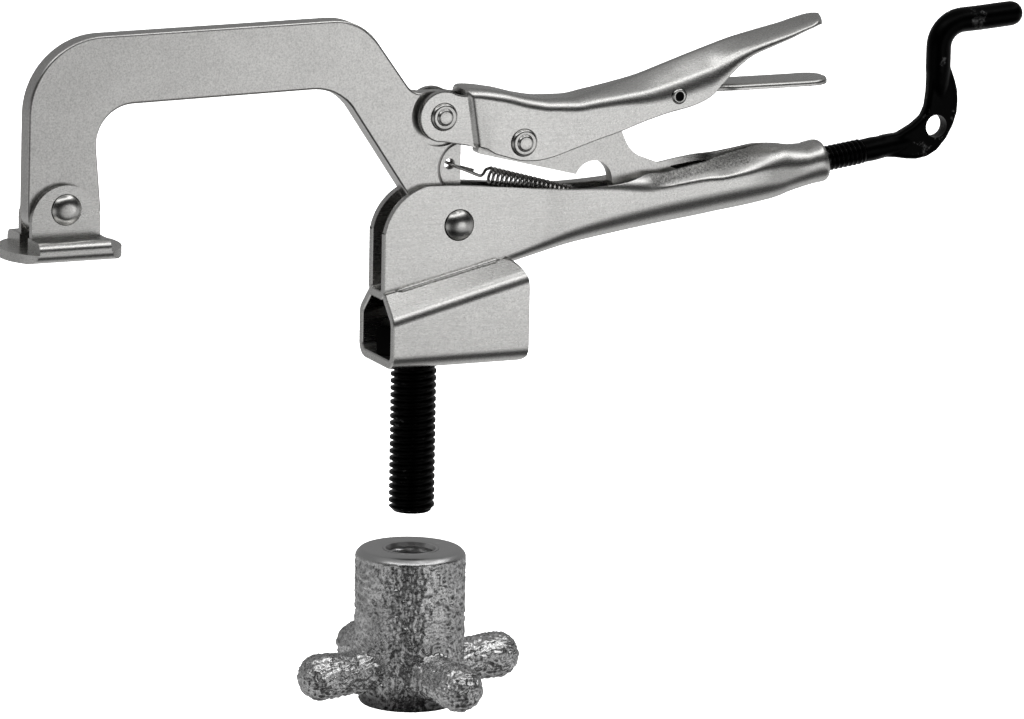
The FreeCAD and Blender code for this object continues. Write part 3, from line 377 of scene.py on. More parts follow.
def half_section(numbers, gauge, edge, wall_points, pressed, gable):
    """Outer and inner side of half a bent sheet, from its middle to its edge, as (across, up)."""
    closed, mouth, half, reach, height = numbers[:5]
    lip, curl, run = (list(numbers[5:]) + [0.0, 0.0, 0.0])[:3]
    curl = math.radians(curl)
    reach, height = max(reach, gauge + 0.15), max(height, gauge + 0.15)
    wall_end = max(abs(mouth - closed) - lip * math.sin(curl) - run * math.cos(curl), height + 0.02)
    sides = []
    for inset in (0.0, gauge):
        flat = [(s * (half - reach), inset) for s in np.linspace(0.0, 1.0, 5)[:-1]]
        turn = [(half - reach + (reach - inset) * across, inset + (height - inset) * up)
                for across, up in bend_curve(gable)]
        wall = [(half - inset, height + s * (wall_end - height))
                for s in np.linspace(0.0, 1.0, wall_points)[1:]]
        side = flat + turn + wall
        if lip:
            angles = np.linspace(0.0, curl, 15)[1:]
            centre, radius = np.array([half - lip, wall_end]), lip - inset
            curled = np.array([centre + radius * np.array([math.cos(a), math.sin(a)]) for a in angles])
            start = centre + radius * np.array([math.cos(PRESS_START), math.sin(PRESS_START)])
            share = np.clip((angles - PRESS_START) / max(curl - PRESS_START, 0.1), 0.0, 1.0)[:, None]
            chord = start + (curled[-1] + np.array([0.5, -1.0]) - start) * share
            curled = np.where(share > 0, curled + (chord - curled) * pressed, curled)
            side += [tuple(point) for point in curled]
        if run:
            last = side[-1]
            side += [(last[0] - s * run * math.sin(curl), last[1] + s * run * math.cos(curl))
                     for s in np.linspace(0.0, 1.0, 8)[1:]]
        sides.append(np.array(side))
    outer, inner = sides
    along = np.array([-math.sin(curl), math.cos(curl)])
    across = (inner[-1] - outer[-1]) / np.linalg.norm(inner[-1] - outer[-1])
    outer = np.vstack([outer[:-1], outer[-1] - along * edge, outer[-1] + across * edge])
    inner = np.vstack([inner[:-1], inner[-1] - along * edge, inner[-1] - across * edge])
    return outer, inner


def c_section(x, numbers, gauge, edge=0.3, wall_points=12, pressed=0.0, gable=0.0):
    """One closed loop of a bent sheet in the plane x.

    pressed flattens the lip on the -Y side, and a gable above 0 draws the bend out into a slope.
    """
    way = 1.0 if numbers[1] > numbers[0] else -1.0
    outer, inner = half_section(numbers, gauge, edge, wall_points, 0.0, gable)
    near_outer, near_inner = half_section(numbers, gauge, edge, wall_points, pressed, gable)
    flip = np.array([-1.0, 1.0])
    loop = np.vstack([(near_outer[1:] * flip)[::-1], outer, inner[::-1], near_inner[1:] * flip])
    return np.column_stack([np.full(len(loop), x), loop[:, 0], numbers[0] + way * loop[:, 1]])


def eased_end(ring, shift, edge=0.3):
    """The ring again, thinner all round by an edge's rounding, and moved along x by shift."""
    gap = ring[::-1] - ring
    reach = np.linalg.norm(gap, axis=1, keepdims=True)
    moved = ring + gap / reach * np.minimum(edge, reach * 0.4)
    moved[:, 0] += shift
    return moved


def cosine_steps(start, end, count, dense_start=True):
    """Steps from start to end, crowded at the start or, without dense_start, at the end."""
    t = np.linspace(0.0, 1.0, count)
    t = 1 - np.cos(t * math.pi / 2) if dense_start else np.sin(t * math.pi / 2)
    return start + (end - start) * t


def round_tip(x, numbers, tip, radius, least):
    """Narrow a section near a sheet's tip so that the sheet ends round, and no narrower than least."""
    if x > tip - radius:
        inward = radius - math.sqrt(max(radius ** 2 - (x - tip + radius) ** 2, 0.0))
        numbers[2] = max(numbers[2] - inward, least)
        numbers[3] = min(numbers[3], numbers[2])


def lathe(profile, centre, way, segments=64, closed=False):
    """Turn (radius, distance along) points about an axis; closed joins the last point to the first."""
    way = np.asarray(way, float)
    side = np.cross(way, [0.0, 0.0, 1.0] if abs(way[2]) < 0.9 else [1.0, 0.0, 0.0])
    side /= np.linalg.norm(side)
    other = np.cross(way, side)
    angles = np.arange(segments) * 2 * math.pi / segments
    circle = np.cos(angles)[:, None] * side + np.sin(angles)[:, None] * other
    rings = [np.asarray(centre) + circle * radius + way * along for radius, along in profile]
    if closed:
        return skin_rings(rings + rings[:1], None, None)
    return skin_rings(rings)


def plate(outline, y_low, y_high, edge=0.3, steps=2):
    """A flat plate from an (x, z) outline, its rims rounded."""
    outline = np.asarray(outline, float)
    ahead, behind = np.roll(outline, -1, 0), np.roll(outline, 1, 0)
    run = ahead - behind
    normal = np.column_stack([run[:, 1], -run[:, 0]])
    normal /= np.linalg.norm(normal, axis=1, keepdims=True)
    area = 0.5 * np.sum(outline[:, 0] * ahead[:, 1] - ahead[:, 0] * outline[:, 1])
    if area < 0:
        normal = -normal
    angles = np.linspace(0.0, math.pi / 2, steps + 1)
    rings = [(outline - normal * edge * 1.5, y_low)]
    for a in angles:
        inset = edge * (1 - math.sin(a))
        rings.append((outline - normal * inset, y_low + edge * (1 - math.cos(a))))
    for a in angles[::-1]:
        inset = edge * (1 - math.sin(a))
        rings.append((outline - normal * inset, y_high - edge * (1 - math.cos(a))))
    rings.append((outline - normal * edge * 1.5, y_high))
    return skin_rings([np.column_stack([flat[:, 0], np.full(len(flat), y), flat[:, 1]]) for flat, y in rings])


def arc(centre, radius, start, end, count):
    angles = np.radians(np.linspace(start, end, count))
    return [(centre[0] + radius * math.cos(a), centre[1] + radius * math.sin(a)) for a in angles]


def tube(points, radii, sides=10):
    """A round bar along points, with parallel-carried rings."""
    points = np.asarray(points, float)
    radii = np.broadcast_to(np.asarray(radii, float), (len(points),))
    run = np.gradient(points, axis=0)
    run /= np.linalg.norm(run, axis=1, keepdims=True)
    side = np.cross(run[0], [0.0, 1.0, 0.0])
    if np.linalg.norm(side) < 0.1:
        side = np.cross(run[0], [0.0, 0.0, 1.0])
    side /= np.linalg.norm(side)
    angles = np.arange(sides) * 2 * math.pi / sides
    rings = []
    for point, way, radius in zip(points, run, radii):
        side = side - way * side.dot(way)
        side /= np.linalg.norm(side)
        other = np.cross(way, side)
        rings.append(point + radius * (np.cos(angles)[:, None] * side + np.sin(angles)[:, None] * other))
    return skin_rings(rings)


def threaded(tip, way, length, major, minor, pitch, columns=56, rows=12, start_taper=1.2, inner=None,
             end_taper=0.0):
    """A helical thread about an axis; inner makes it a sleeve whose thread is on the inside."""
    way = np.asarray(way, float)
    side = np.cross(way, [0.0, 1.0, 0.0])
    side /= np.linalg.norm(side)
    other = np.cross(way, side)
    angles = np.arange(columns) * 2 * math.pi / columns
    circle = np.cos(angles)[:, None] * side + np.sin(angles)[:, None] * other
    count = int(length / pitch * rows)
    rings = []
    for along in np.linspace(0.0, length, count):
        turn = (along / pitch - angles / (2 * math.pi)) % 1.0
        crest = np.clip(1.75 - np.abs(turn * 2 - 1) * 2.4, 0.0, 1.0)
        crest = crest * crest * (3 - 2 * crest)
        radius = minor + (major - minor) * crest
        if start_taper:
            radius = np.minimum(radius, minor - 0.25 + max(along, 0.0) / start_taper * (major - minor + 0.25))
        if end_taper:
            radius = np.minimum(radius, minor + max(length - along, 0.0) / end_taper * (major - minor))
        rings.append(np.asarray(tip) + circle * radius[:, None] + way * along)
    if inner is None:
        return skin_rings(rings)
    shell = [np.asarray(tip) + circle * inner + way * along for along in (length, 0.0)]
    return skin_rings(rings + shell + rings[:1], None, None)


# ---- fixed handle -------------------------------------------------------------------------------

GAUGE = 2.4
NOSE = 15.5
# Height about which the tube's end leans square to the screw.
TUBE_MIDDLE = 48.8
front, rear = FIXED_HANDLE[0, 0], FIXED_HANDLE[-1, 0]
stations = np.concatenate([
    cosine_steps(front + 0.3, front + NOSE, 22)[:-1],
    np.arange(front + NOSE, rear - 0.6, 1.2),
    [rear - 0.6],
])
sections = smooth_columns(FIXED_HANDLE, stations)
rings = []
for x, numbers in zip(stations, sections):
    numbers = numbers.copy()
    if x < front + NOSE:
        corner = FIXED_HANDLE[0, 2] - NOSE
        numbers[1] = min(numbers[1], corner + math.sqrt(max(NOSE ** 2 - (NOSE - (x - front)) ** 2, 0.0)))
    pressed = np.clip((x - 67.0) / 5.0, 0.0, 1.0) * np.clip((107.0 - x) / 22.0, 0.0, 1.0)
    ring = c_section(x, numbers, GAUGE, pressed=pressed)
    lean = np.clip((x - 110.0) / 10.0, 0.0, 1.0)
    ring[:, 0] -= (ring[:, 2] - TUBE_MIDDLE) * math.tan(SCREW_SLOPE) * lean
    rings.append(ring)
rings.insert(0, eased_end(rings[0], -0.3))
axis = SCREW_TIP + SCREW_WAY * ((rear - SCREW_TIP[0]) / SCREW_WAY[0])
last = rings[-1]
beyond = np.hypot(last[:, 1], last[:, 2] - axis[2]) > 4.6
for shift, share in ((0.6, 0.988), (1.1, 0.962), (1.5, 0.92), (1.78, 0.865), (1.9, 0.81)):
    ring = last.copy()
    ring[:, 0] += shift
    ring[beyond, 1] *= share
    ring[beyond, 2] = axis[2] + (ring[beyond, 2] - axis[2]) * share
    rings.append(ring)
verts, faces = skin_rings(rings, "strip", "strip")
handle = mesh_object("fixed_handle_shell", verts, faces, ZINC)
# The mask marks the lip's real grain and where the lip's painted shade goes.
grain_and_shade = handle.data.attributes.new("lip_grain_and_shade", "FLOAT", "POINT")
points = np.array([v.co for v in handle.data.vertices]) / MM
lip_z = smooth_columns(FIXED_HANDLE[:, [0, 2]], np.clip(points[:, 0], front, rear))[:, 0]
depth = lip_z - points[:, 2]
along_lip = np.clip((points[:, 0] - 65.0) / 3.0, 0.0, 1.0) * np.clip((104.0 - points[:, 0]) / 8.0, 0.0, 1.0)
down_lip = np.clip((4.6 - depth) / 1.2, 0.0, 1.0) * (np.abs(points[:, 1]) < 7.45)
grain_and_shade.data.foreach_set("value", (along_lip * down_lip * (points[:, 1] < 0)).astype(np.float32))
attach(handle, "frame", "zinc_plate", "fixed_handle")

# ---- upper handle: a bent sheet with two stepped ears ---------------------------------------------

GRIP_GAUGE = 2.0
STEP_SLANT = 0.156
tip = UPPER_HANDLE[-1, 0]
TIP_ROUND = 4.8
stations = np.concatenate([
    np.arange(12.3, 15.2, 0.4),
    np.arange(15.6, tip - TIP_ROUND, 1.2),
    cosine_steps(tip - TIP_ROUND, tip - 0.3, 12, False),
])
sections = smooth_columns(UPPER_HANDLE, stations)
rings = []
for x, numbers in zip(stations, sections):
    numbers = numbers.copy()
    round_tip(x, numbers, tip, TIP_ROUND, GRIP_GAUGE + 0.4)
    gable = np.clip((x - 44.0) / 22.0, 0.0, 1.0)
    ring = c_section(x, numbers, GRIP_GAUGE, gable=gable * gable * (3 - 2 * gable))
    ring[:, 0] += (74.8 - ring[:, 2]) * STEP_SLANT * np.clip((20.0 - x) / 5.0, 0.0, 1.0)
    rings.append(ring)
rings.insert(0, eased_end(rings[0], -0.3))
rings.append(eased_end(rings[-1], 0.3, 0.6))
shell = skin_rings(rings, "strip", "strip")
ear_outline = (
    arc(ARM_PIVOT, 7.0, 58, 255, 44)
    + [(5.6, 60.75), (7.6, 60.35), (9.9, 59.9), (12.5, 59.4), (15.2, 58.7)]
    + [(13.6, 72.9), (12.4, 73.05), (11.0, 73.2)]
)
ears = [plate(ear_outline, side * 4.2 - 1.0, side * 4.2 + 1.0, 0.28) for side in (-1, 1)]
verts, faces = join(shell, *ears)
attach(mesh_object("upper_handle_shell", verts, faces, ZINC), "upper_handle", "zinc_plate", "upper_handle")

# ---- release lever --------------------------------------------------------------------------------

LEVER_GAUGE = 1.0
tail = RELEASE_LEVER[-1, 0]
TAIL_ROUND = 5.2
stations = np.concatenate([
    np.arange(60.5, tail - TAIL_ROUND, 1.0),
    cosine_steps(tail - TAIL_ROUND, tail - 0.3, 14, False),
])
rings = []
for x, numbers in zip(stations, smooth_columns(RELEASE_LEVER, stations)):
    numbers = numbers.copy()
    round_tip(x, numbers, tail, TAIL_ROUND, LEVER_GAUGE + 0.3)
    rings.append(c_section(x, numbers, LEVER_GAUGE, 0.22, 6))
rings.insert(0, eased_end(rings[0], -0.2, 0.2))
rings.append(eased_end(rings[-1], 0.3, 0.4))
verts, faces = skin_rings(rings, "strip", "strip")
attach(mesh_object("release_lever_sheet", verts, faces, ZINC), "release_lever", "zinc_plate", "release_lever")

# ---- rivets ---------------------------------------------------------------------------------------

DOMED = [(0.0, 1.9), (0.9, 1.88), (1.8, 1.74), (2.6, 1.46), (3.3, 1.08), (3.85, 0.62), (4.1, 0.3), (4.15, 0.0)]
FLAT_DOMED = [(0.0, 1.55), (1.3, 1.55), (1.9, 1.5), (2.7, 1.3), (3.3, 1.0), (3.8, 0.6), (4.05, 0.3), (4.1, 0.0)]
RINGED = [(0.0, 1.5), (1.6, 1.5), (1.9, 1.45), (2.08, 1.3), (2.2, 1.02), (2.42, 0.9), (2.75, 0.98), (3.1, 0.98),
          (3.4, 0.86), (3.62, 0.6), (3.74, 0.3), (3.78, 0.0)]


def paint_shade_black(made, chosen):
    """Give the faces whose middle is chosen the black finish, as painted shade."""
    made.data.materials.append(BLACK)
    for polygon in made.data.polygons:
        if chosen(polygon.center / MM):
            polygon.material_index = 1


def rivet(name, pivot, head, shank, face, body, node, shadow=0.10):
    """A shank with the same head at both sides, bearing on faces that far from the middle, with a black ring of
    painted shadow, shadow wide, round each head.
    """
    half = [(radius, face + height) for radius, height in head]
    seat = half[-1][0] + shadow
    profile = [(0.01, half[0][1])] + half[1:-1] + [(half[-1][0], face + 0.05), (seat, face + 0.05), (shank, face)]
    profile += [(radius, -along) for radius, along in reversed(profile)]
    verts, faces = lathe(profile, (pivot[0], 0.0, pivot[1]), (0.0, -1.0, 0.0), 56)
    head_made = mesh_object(name, verts, faces, RIVET, 50)
    outside = half[-1][0]
    # Painted shadow: the seat ring round the head is black.
    paint_shade_black(head_made, lambda place: math.hypot(place.x - pivot[0], place.z - pivot[1]) > outside + 0.01)
    attach(head_made, body, "rivet_steel", node)


rivet("main_rivet_domed", MAIN_PIVOT, DOMED, 3.0, 5.6, "frame", "main_pivot_rivet", 0.22)
rivet("pad_rivet_domed", PAD_PIVOT, FLAT_DOMED, 2.6, 5.3, "swivel_pad", "pad_rivet", 0.14)
rivet("arm_rivet_ringed", ARM_PIVOT, RINGED, 2.6, 5.2, "upper_handle", "arm_handle_rivet")
rivet("link_rivet_ringed", LINK_PIVOT, RINGED, 2.6, 6.9, "upper_handle", "handle_link_rivet")
eyelet = [(1.15, 7.0), (1.25, 7.38), (1.55, 7.5), (1.85, 7.38), (2.05, 7.14), (2.2, 7.14), (2.2, 6.9)]
profile = eyelet + [(radius, -along) for radius, along in reversed(eyelet)]
verts, faces = lathe(profile, (LEVER_PIVOT[0], 0.0, LEVER_PIVOT[1]), (0.0, -1.0, 0.0), 40, True)
# A black plug in the eyelet's bore is painted shade, and the black rim round the eyelet is painted shadow.
bore_shade = lathe([(1.2, -7.16), (1.2, 7.16)], (LEVER_PIVOT[0], 0.0, LEVER_PIVOT[1]), (0.0, -1.0, 0.0), 40)
verts, faces = join((verts, faces), bore_shade)
pin = mesh_object("lever_pin_eyelet", verts, faces, RIVET, 50)
paint_shade_black(pin, lambda place: not 1.22 < math.hypot(place.x - LEVER_PIVOT[0], place.z - LEVER_PIVOT[1]) < 2.06)
attach(pin, "upper_handle", "rivet_steel", "release_lever_pin")

# ---- rounded step of the coined patch round the arm's spring hole -----------------------------------

COIN_FACE = 3.0
COIN_STEP = [(7.9, 0.02), (7.6, -0.03), (7.25, -0.2), (6.95, -0.5), (6.75, -0.85), (6.6, -1.22), (7.9, -1.3)]
coins = []
for side in (-1.0, 1.0):
    rings = [np.array([(12.7 + radius * math.cos(a), side * (COIN_FACE + up), 52.9 + radius * math.sin(a))
                       for radius, up in COIN_STEP]) for a in np.radians(np.linspace(84, 272, 60))]
    coins.append(skin_rings(rings))
verts, faces = join(*coins)
# The step takes the darker spring steel finish as painted shade along the coin's rim.
attach(mesh_object("arm_coin_step", verts, faces, SPRING, 50), "jaw_arm", "zinc_plate")

# ---- base -----------------------------------------------------------------------------------------

BASE = np.array([
    (-11.2, 0.0, 20.0, 12.15, 4.0, 4.2, 5.0, 45.0, 7.1),
    (28.9, 0.0, 29.2, 12.15, 4.0, 4.2, 5.5, 50.8, 5.8),
])
TOP_REAR, TOP_ROUND = (28.9, 29.5), 9.0
LOW_ROUND = 3.0
BASE_GAUGE, BASE_EDGE = 2.4, 0.35


def base_limit(z):
    """How far back the base's sheet reaches at a height: its rear corners are rounded."""
    limit = np.full(len(z), TOP_REAR[0])
    high = np.clip(z - (TOP_REAR[1] - TOP_ROUND), 0.0, TOP_ROUND)
    low = np.clip(LOW_ROUND - z, 0.0, LOW_ROUND)
    limit -= TOP_ROUND - np.sqrt(TOP_ROUND ** 2 - high ** 2)
    return limit - (LOW_ROUND - np.sqrt(LOW_ROUND ** 2 - low ** 2))


stations = np.concatenate([np.arange(-10.9, 18.0, 1.6), cosine_steps(18.0, 28.6, 20, False)])
rings = []
for x in stations:
    share = (x - BASE[0, 0]) / (BASE[1, 0] - BASE[0, 0])
    numbers = (BASE[0] * (1 - share) + BASE[1] * share)[1:]
    rings.append(c_section(x, numbers, BASE_GAUGE, BASE_EDGE))
rings.insert(0, eased_end(rings[0], -0.3, BASE_EDGE))
rings.append(eased_end(rings[-1], 0.3, BASE_EDGE))
for ring in rings:
    ring[:, 0] = np.minimum(ring[:, 0], base_limit(ring[:, 2]))
verts, faces = skin_rings(rings, "strip", "strip")
attach(mesh_object("base_sheet", verts, faces, ZINC), "frame", "zinc_plate", "base_channel")

# ---- weld beads -----------------------------------------------------------------------------------

for name, side in (("weld_bead_front", -1.0), ("weld_bead_back", 1.0)):
    low, high = (vector / MM for vector in map(np.array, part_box(name)))
    start = np.array([low[0] + 0.6, side * 5.85, low[2] + 1.1])
    finish = np.array([high[0] - 0.6, side * 5.85, high[2] - 1.1])
    steps = np.linspace(0.0, 1.0, 110)
    ripple = 0.62 + 0.07 * np.abs(np.sin(steps * 62.0)) + 0.05 * np.sin(steps * 17.0 + side)
    ripple *= np.clip(np.minimum(steps, 1 - steps) * 22, 0.25, 1.0)
    verts, faces = tube(start + (finish - start) * steps[:, None], ripple, 16)
    attach(mesh_object(name + "_rippled", verts, faces, ZINC), "frame", "weld", name)

# ---- bolt -----------------------------------------------------------------------------------------

PITCH = 1.9538
BOLT_TIP, BOLT_LENGTH, BOLT_MAJOR, BOLT_MINOR = -41.7, 44.2, 6.25, 5.3
HEAD_ACROSS_FLATS = 19.05
thread = threaded((0.0, 0.0, BOLT_TIP), (0.0, 0.0, 1.0), BOLT_LENGTH, BOLT_MAJOR, BOLT_MINOR, PITCH)
corner = HEAD_ACROSS_FLATS / math.sqrt(3)
bolt_head = []
for height, share in ((2.45, 0.97), (2.75, 1.0), (9.4, 1.0), (10.0, 0.975), (10.35, 0.9)):
    angles = np.radians(np.arange(0, 360, 60))
    bolt_head.append(np.column_stack([corner * share * np.cos(angles), corner * share * np.sin(angles),
                                      np.full(6, height)]))
verts, faces = join(thread, skin_rings(bolt_head))
attach(mesh_object("bolt_threaded", verts, faces, BLACK, 30), "frame", "black_oxide", "mounting_bolt")

# ---- adjusting screw and crank --------------------------------------------------------------------

SCREW_PITCH = 1.411
thread = threaded(SCREW_TIP, SCREW_WAY, 50.2, 3.5, 3.05, SCREW_PITCH, 40, 12, 1.0, None, 1.4)
attach(mesh_object("screw_thread", thread[0], thread[1], BLACK, 30), "adjusting_screw", "black_oxide")


def forge(name, parts, voxel, rounds, skin):
    """Closed parts merged into one skin and smoothed, as a forging or a casting is."""
    verts, faces = join(*parts)
    made = mesh_object(name, verts, faces, skin)
    remesh = made.modifiers.new("merge", "REMESH")
    remesh.mode = "VOXEL"
    remesh.voxel_size = voxel * MM
    soften = made.modifiers.new("soften", "SMOOTH")
    soften.factor = 0.5
    soften.iterations = rounds
    return made


def settle(made, angle=None):
    """Apply an object's modifiers to its mesh."""
    bpy.context.view_layer.update()
    graph = bpy.context.evaluated_depsgraph_get()
    mesh = bpy.data.meshes.new_from_object(made.evaluated_get(graph))
    old = made.data
    made.modifiers.clear()
    made.data = mesh
    bpy.data.meshes.remove(old)
    mesh.shade_smooth()
    if angle:
        mesh.set_sharp_from_angle(angle=math.radians(angle))
    return made


shank_start = SCREW_TIP + SCREW_WAY * 49.0
shank_end = SCREW_TIP + SCREW_WAY * 62.5
shank_path = [
    shank_start, shank_start + SCREW_WAY * 4.0,
    shank_end - SCREW_WAY * 3.0, shank_end + SCREW_WAY * 5.0,
]
shank = tube(shank_path, [3.25, 3.35, 2.9, 1.5], 32)
eye_outline = [
    (140.6, 48.4), (144.6, 48.0), (147.4, 47.5), (150.6, 47.2), (154.0, 47.7), (157.2, 49.4), (160.1, 52.7),
    (162.1, 56.4), (163.2, 60.0), (163.4, 63.4), (163.1, 66.4), (162.2, 69.4), (161.0, 72.4), (154.2, 72.4),
    (154.1, 66.0), (153.6, 62.0), (152.4, 59.4), (149.6, 57.2), (145.2, 54.9), (140.2, 54.4),
]
eye = plate(eye_outline, -2.05, 2.05, 1.2, 3)
rod_path = (
    [(157.6, 60.6), (157.6, 64.0), (157.5, 68.0), (157.4, 72.0)]
    + [(165.0 - 7.6 * math.cos(a), 78.4 + 7.4 * math.sin(a)) for a in np.linspace(0.0, math.radians(86), 12)]
    + [(170.0, 86.1), (175.0, 86.5), (179.4, 86.85)]
)
rod_path = np.array([(x, 0.0, z) for x, z in rod_path])
rod_radii = np.concatenate([[1.3, 2.1, 3.0], np.full(len(rod_path) - 3, 3.5)])
rod = tube(rod_path, rod_radii, 32)
BALL = 3.45
half_turn = np.radians(np.arange(-80, 81, 10))
ball_profile = [(0.02, -BALL)] + [(BALL * math.cos(a), BALL * math.sin(a)) for a in half_turn] + [(0.02, BALL)]
ball = lathe(ball_profile, (179.6, 0.0, 86.87), (0.0, 0.0, 1.0), 32)
crank = forge("crank_forged", [shank, eye, rod, ball], 0.42, 5, BLACK)
settle(crank)
bore = lathe([(3.2, -6.0), (3.2, 6.0)], (156.4, 0.0, 56.4), (0.0, 1.0, 0.0), 48)
cutter = mesh_object("eye_cutter", bore[0], bore[1], BLACK)
cut = crank.modifiers.new("eye", "BOOLEAN")
cut.object = cutter
cut.operation = "DIFFERENCE"
cut.solver = "EXACT"
settle(crank, 40)
bpy.data.objects.remove(cutter)
attach(crank, "adjusting_screw", "black_oxide", "adjusting_screw")

# ---- hand nut -------------------------------------------------------------------------------------

ARM_Z, ARM_REACH, ARM_TURN = -85.6, 27.6, math.radians(6.9)
barrel = lathe([(7.4, NUT_BOTTOM + 0.3), (13.4, NUT_BOTTOM + 0.3), (13.9, NUT_BOTTOM + 1.5), (14.2, -84.0),
                (NUT_RADIUS, -77.0), (NUT_RADIUS, NUT_TOP - 1.5), (NUT_RADIUS - 1.5, NUT_TOP), (7.4, NUT_TOP)],
               (0.0, 0.0, 0.0), (0.0, 0.0, 1.0), 96, True)
ARM_END = 6.6
arm_profile = [(0.5, 8.9), (6.4, 9.2), (6.3, 13.5), (5.95, 18.0), (6.2, 22.0), (6.5, 26.0)]
arm_profile += [(ARM_END * math.cos(a), ARM_REACH + ARM_END * math.sin(a))
                for a in np.radians([0, 15, 30, 45, 60, 75, 86])]
parts = [barrel]
for index in range(4):
    turn = ARM_TURN + index * math.pi / 2
    outward = np.array([math.cos(turn), math.sin(turn), 0.0])
    parts.append(lathe(arm_profile, (0.0, 0.0, ARM_Z), outward, 40))
nut = forge("hand_nut_cast", parts, 0.5, 10, CAST)
settle(nut)


def lumps(mesh, roughness):
    """Push a casting's skin in and out with fixed noise, as much as roughness(place) says."""
    count = len(mesh.vertices)
    places, normals = np.empty(count * 3), np.empty(count * 3)
    mesh.vertices.foreach_get("co", places)
    mesh.vertices.foreach_get("normal", normals)
    places, normals = places.reshape(-1, 3), normals.reshape(-1, 3)
    for row in range(count):
        place = Vector(places[row] / MM)
        share = roughness(place)
        if share > 0:
            coarse = noise.noise(place * 0.42 + Vector((3.1, 7.7, 1.3)))
            middle = noise.noise(place * 0.80 + Vector((11.0, 2.0, 5.0)))
            fine = noise.noise(place * 1.35 + Vector((1.0, 17.0, 9.0)))
            push = 0.14 * coarse + 0.52 * middle + 0.46 * fine - 0.22
            places[row] += normals[row] * (min(push, 0.10) * share * MM)
    mesh.vertices.foreach_set("co", places.ravel())
    mesh.update()


def nut_skin(place):
    """How rough the nut's skin is: none on the faced top, its chamfer and the bore."""
    radius = math.hypot(place.x, place.y)
    if radius < 8.6 or place.z < NUT_BOTTOM + 0.8:
        return 0.0
    return min(max((NUT_TOP - 1.7 - place.z) / 1.2, 0.0), 1.0)


lumps(nut.data, nut_skin)
nut.data.materials.append(MACHINED)
for polygon in nut.data.polygons:
    centre = polygon.center / MM
    if centre.z > NUT_TOP - 1.75 or math.hypot(centre.x, centre.y) < 8.0:
        polygon.material_index = 1
attach(nut, "hand_nut", "cast_nut", "hand_nut")
mouth = [(6.9, NUT_TOP - 0.05), (7.6, NUT_TOP - 0.05), (7.6, NUT_TOP - 2.2), (6.45, NUT_TOP - 1.2)]
sleeve = threaded((0.0, 0.0, NUT_BOTTOM + 0.6), (0.0, 0.0, 1.0), NUT_TOP - NUT_BOTTOM - 1.8, 6.75, 6.35,
                  PITCH, 56, 12, 0.0, 7.7)
rim = lathe(mouth, (0.0, 0.0, 0.0), (0.0, 0.0, 1.0), 56, True)
verts, faces = join(sleeve, rim)
attach(mesh_object("hand_nut_thread", verts, faces, MACHINED, 30), "hand_nut", "cast_nut")

# ---- return spring --------------------------------------------------------------------------------

SPRING_SLOPE = math.radians(-15.5)
spring_way = np.array([math.cos(SPRING_SLOPE), 0.0, math.sin(SPRING_SLOPE)])
spring_up = np.array([-spring_way[2], 0.0, spring_way[0]])
bend = np.array([17.8, 0.0, 50.9])
coil_start = bend + spring_way * ((21.4 - bend[0]) / spring_way[0])
COIL_LENGTH = 25.0
TURNS = 18.5
MEAN, WIRE = 2.15, 0.45
aside = np.array([0.0, 1.0, 0.0])
turns = np.linspace(0.0, TURNS * 2 * math.pi, int(TURNS * 18))
coil = [coil_start + spring_way * COIL_LENGTH * t / turns[-1]
        + MEAN * (spring_up * math.cos(t) - aside * math.sin(t)) for t in turns]
hook = [(17.7, 2.3, 51.1), (13.4, 2.4, 52.4), (10.0, 2.3, 53.6), (9.0, 1.2, 54.05), (8.9, 0.0, 54.1),
        (9.0, -1.2, 54.05), (10.0, -2.25, 53.6), (13.4, -2.4, 52.2), (17.0, -2.35, 50.65), (18.0, -2.2, 50.4),
        (19.0, -1.7, 50.9), (20.0, -0.9, 51.7)]
rear_eye = np.array([50.0, 0.0, 41.4])
tail_end = coil[-1]
rear_hook = [tail_end + spring_way * 1.2, tail_end + spring_way * 2.4 - spring_up * 1.0]
rear_hook += [rear_eye + np.array(away) for away in (
    (-0.9, 1.5, 0.5), (0.1, 1.5, 0.1), (0.2, 0.0, 0.0), (0.1, -1.4, 0.1), (-1.0, -1.6, 0.5))]


def rounded(points, per_run=6):
    """Catmull-Rom through the points."""
    points = [np.asarray(point, float) for point in points]
    points = [2 * points[0] - points[1]] + points + [2 * points[-1] - points[-2]]
    out = []
    for a, b, c, d in zip(points, points[1:], points[2:], points[3:]):
        for t in np.arange(per_run) / per_run:
            out.append(0.5 * (2 * b + (c - a) * t + (2 * a - 5 * b + 4 * c - d) * t ** 2
                              + (3 * b - a - 3 * c + d) * t ** 3))
    out.append(points[-2])
    return out


wire = rounded(hook + [coil[0]])[:-1] + coil + rounded([coil[-1]] + rear_hook)[1:]
verts, faces = tube(wire, WIRE, 9)
spring = mesh_object("return_spring_wire", verts, faces, SPRING, 60)
attach(spring, "frame", "spring_steel", "return_spring")
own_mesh(spring)

# ---- pieces whose CAD shape stays -----------------------------------------------------------------

for node in ("jaw_arm", "toggle_link", "swivel_pad", "spring_anchor"):
    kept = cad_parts[node]
    kept.data.materials.clear()
    kept.data.materials.append(ZINC_ARM if node in ("jaw_arm", "toggle_link") else ZINC)
    if node in ("toggle_link", "swivel_pad"):
        rims = kept.modifiers.new("rims", "BEVEL")
        rims.width = 0.3 * MM
        rims.segments = 2
        rims.limit_method = "ANGLE"
        rims.angle_limit = math.radians(50)
        rims.harden_normals = True

# ---- floor, camera and light ------------------------------------------------------------------------

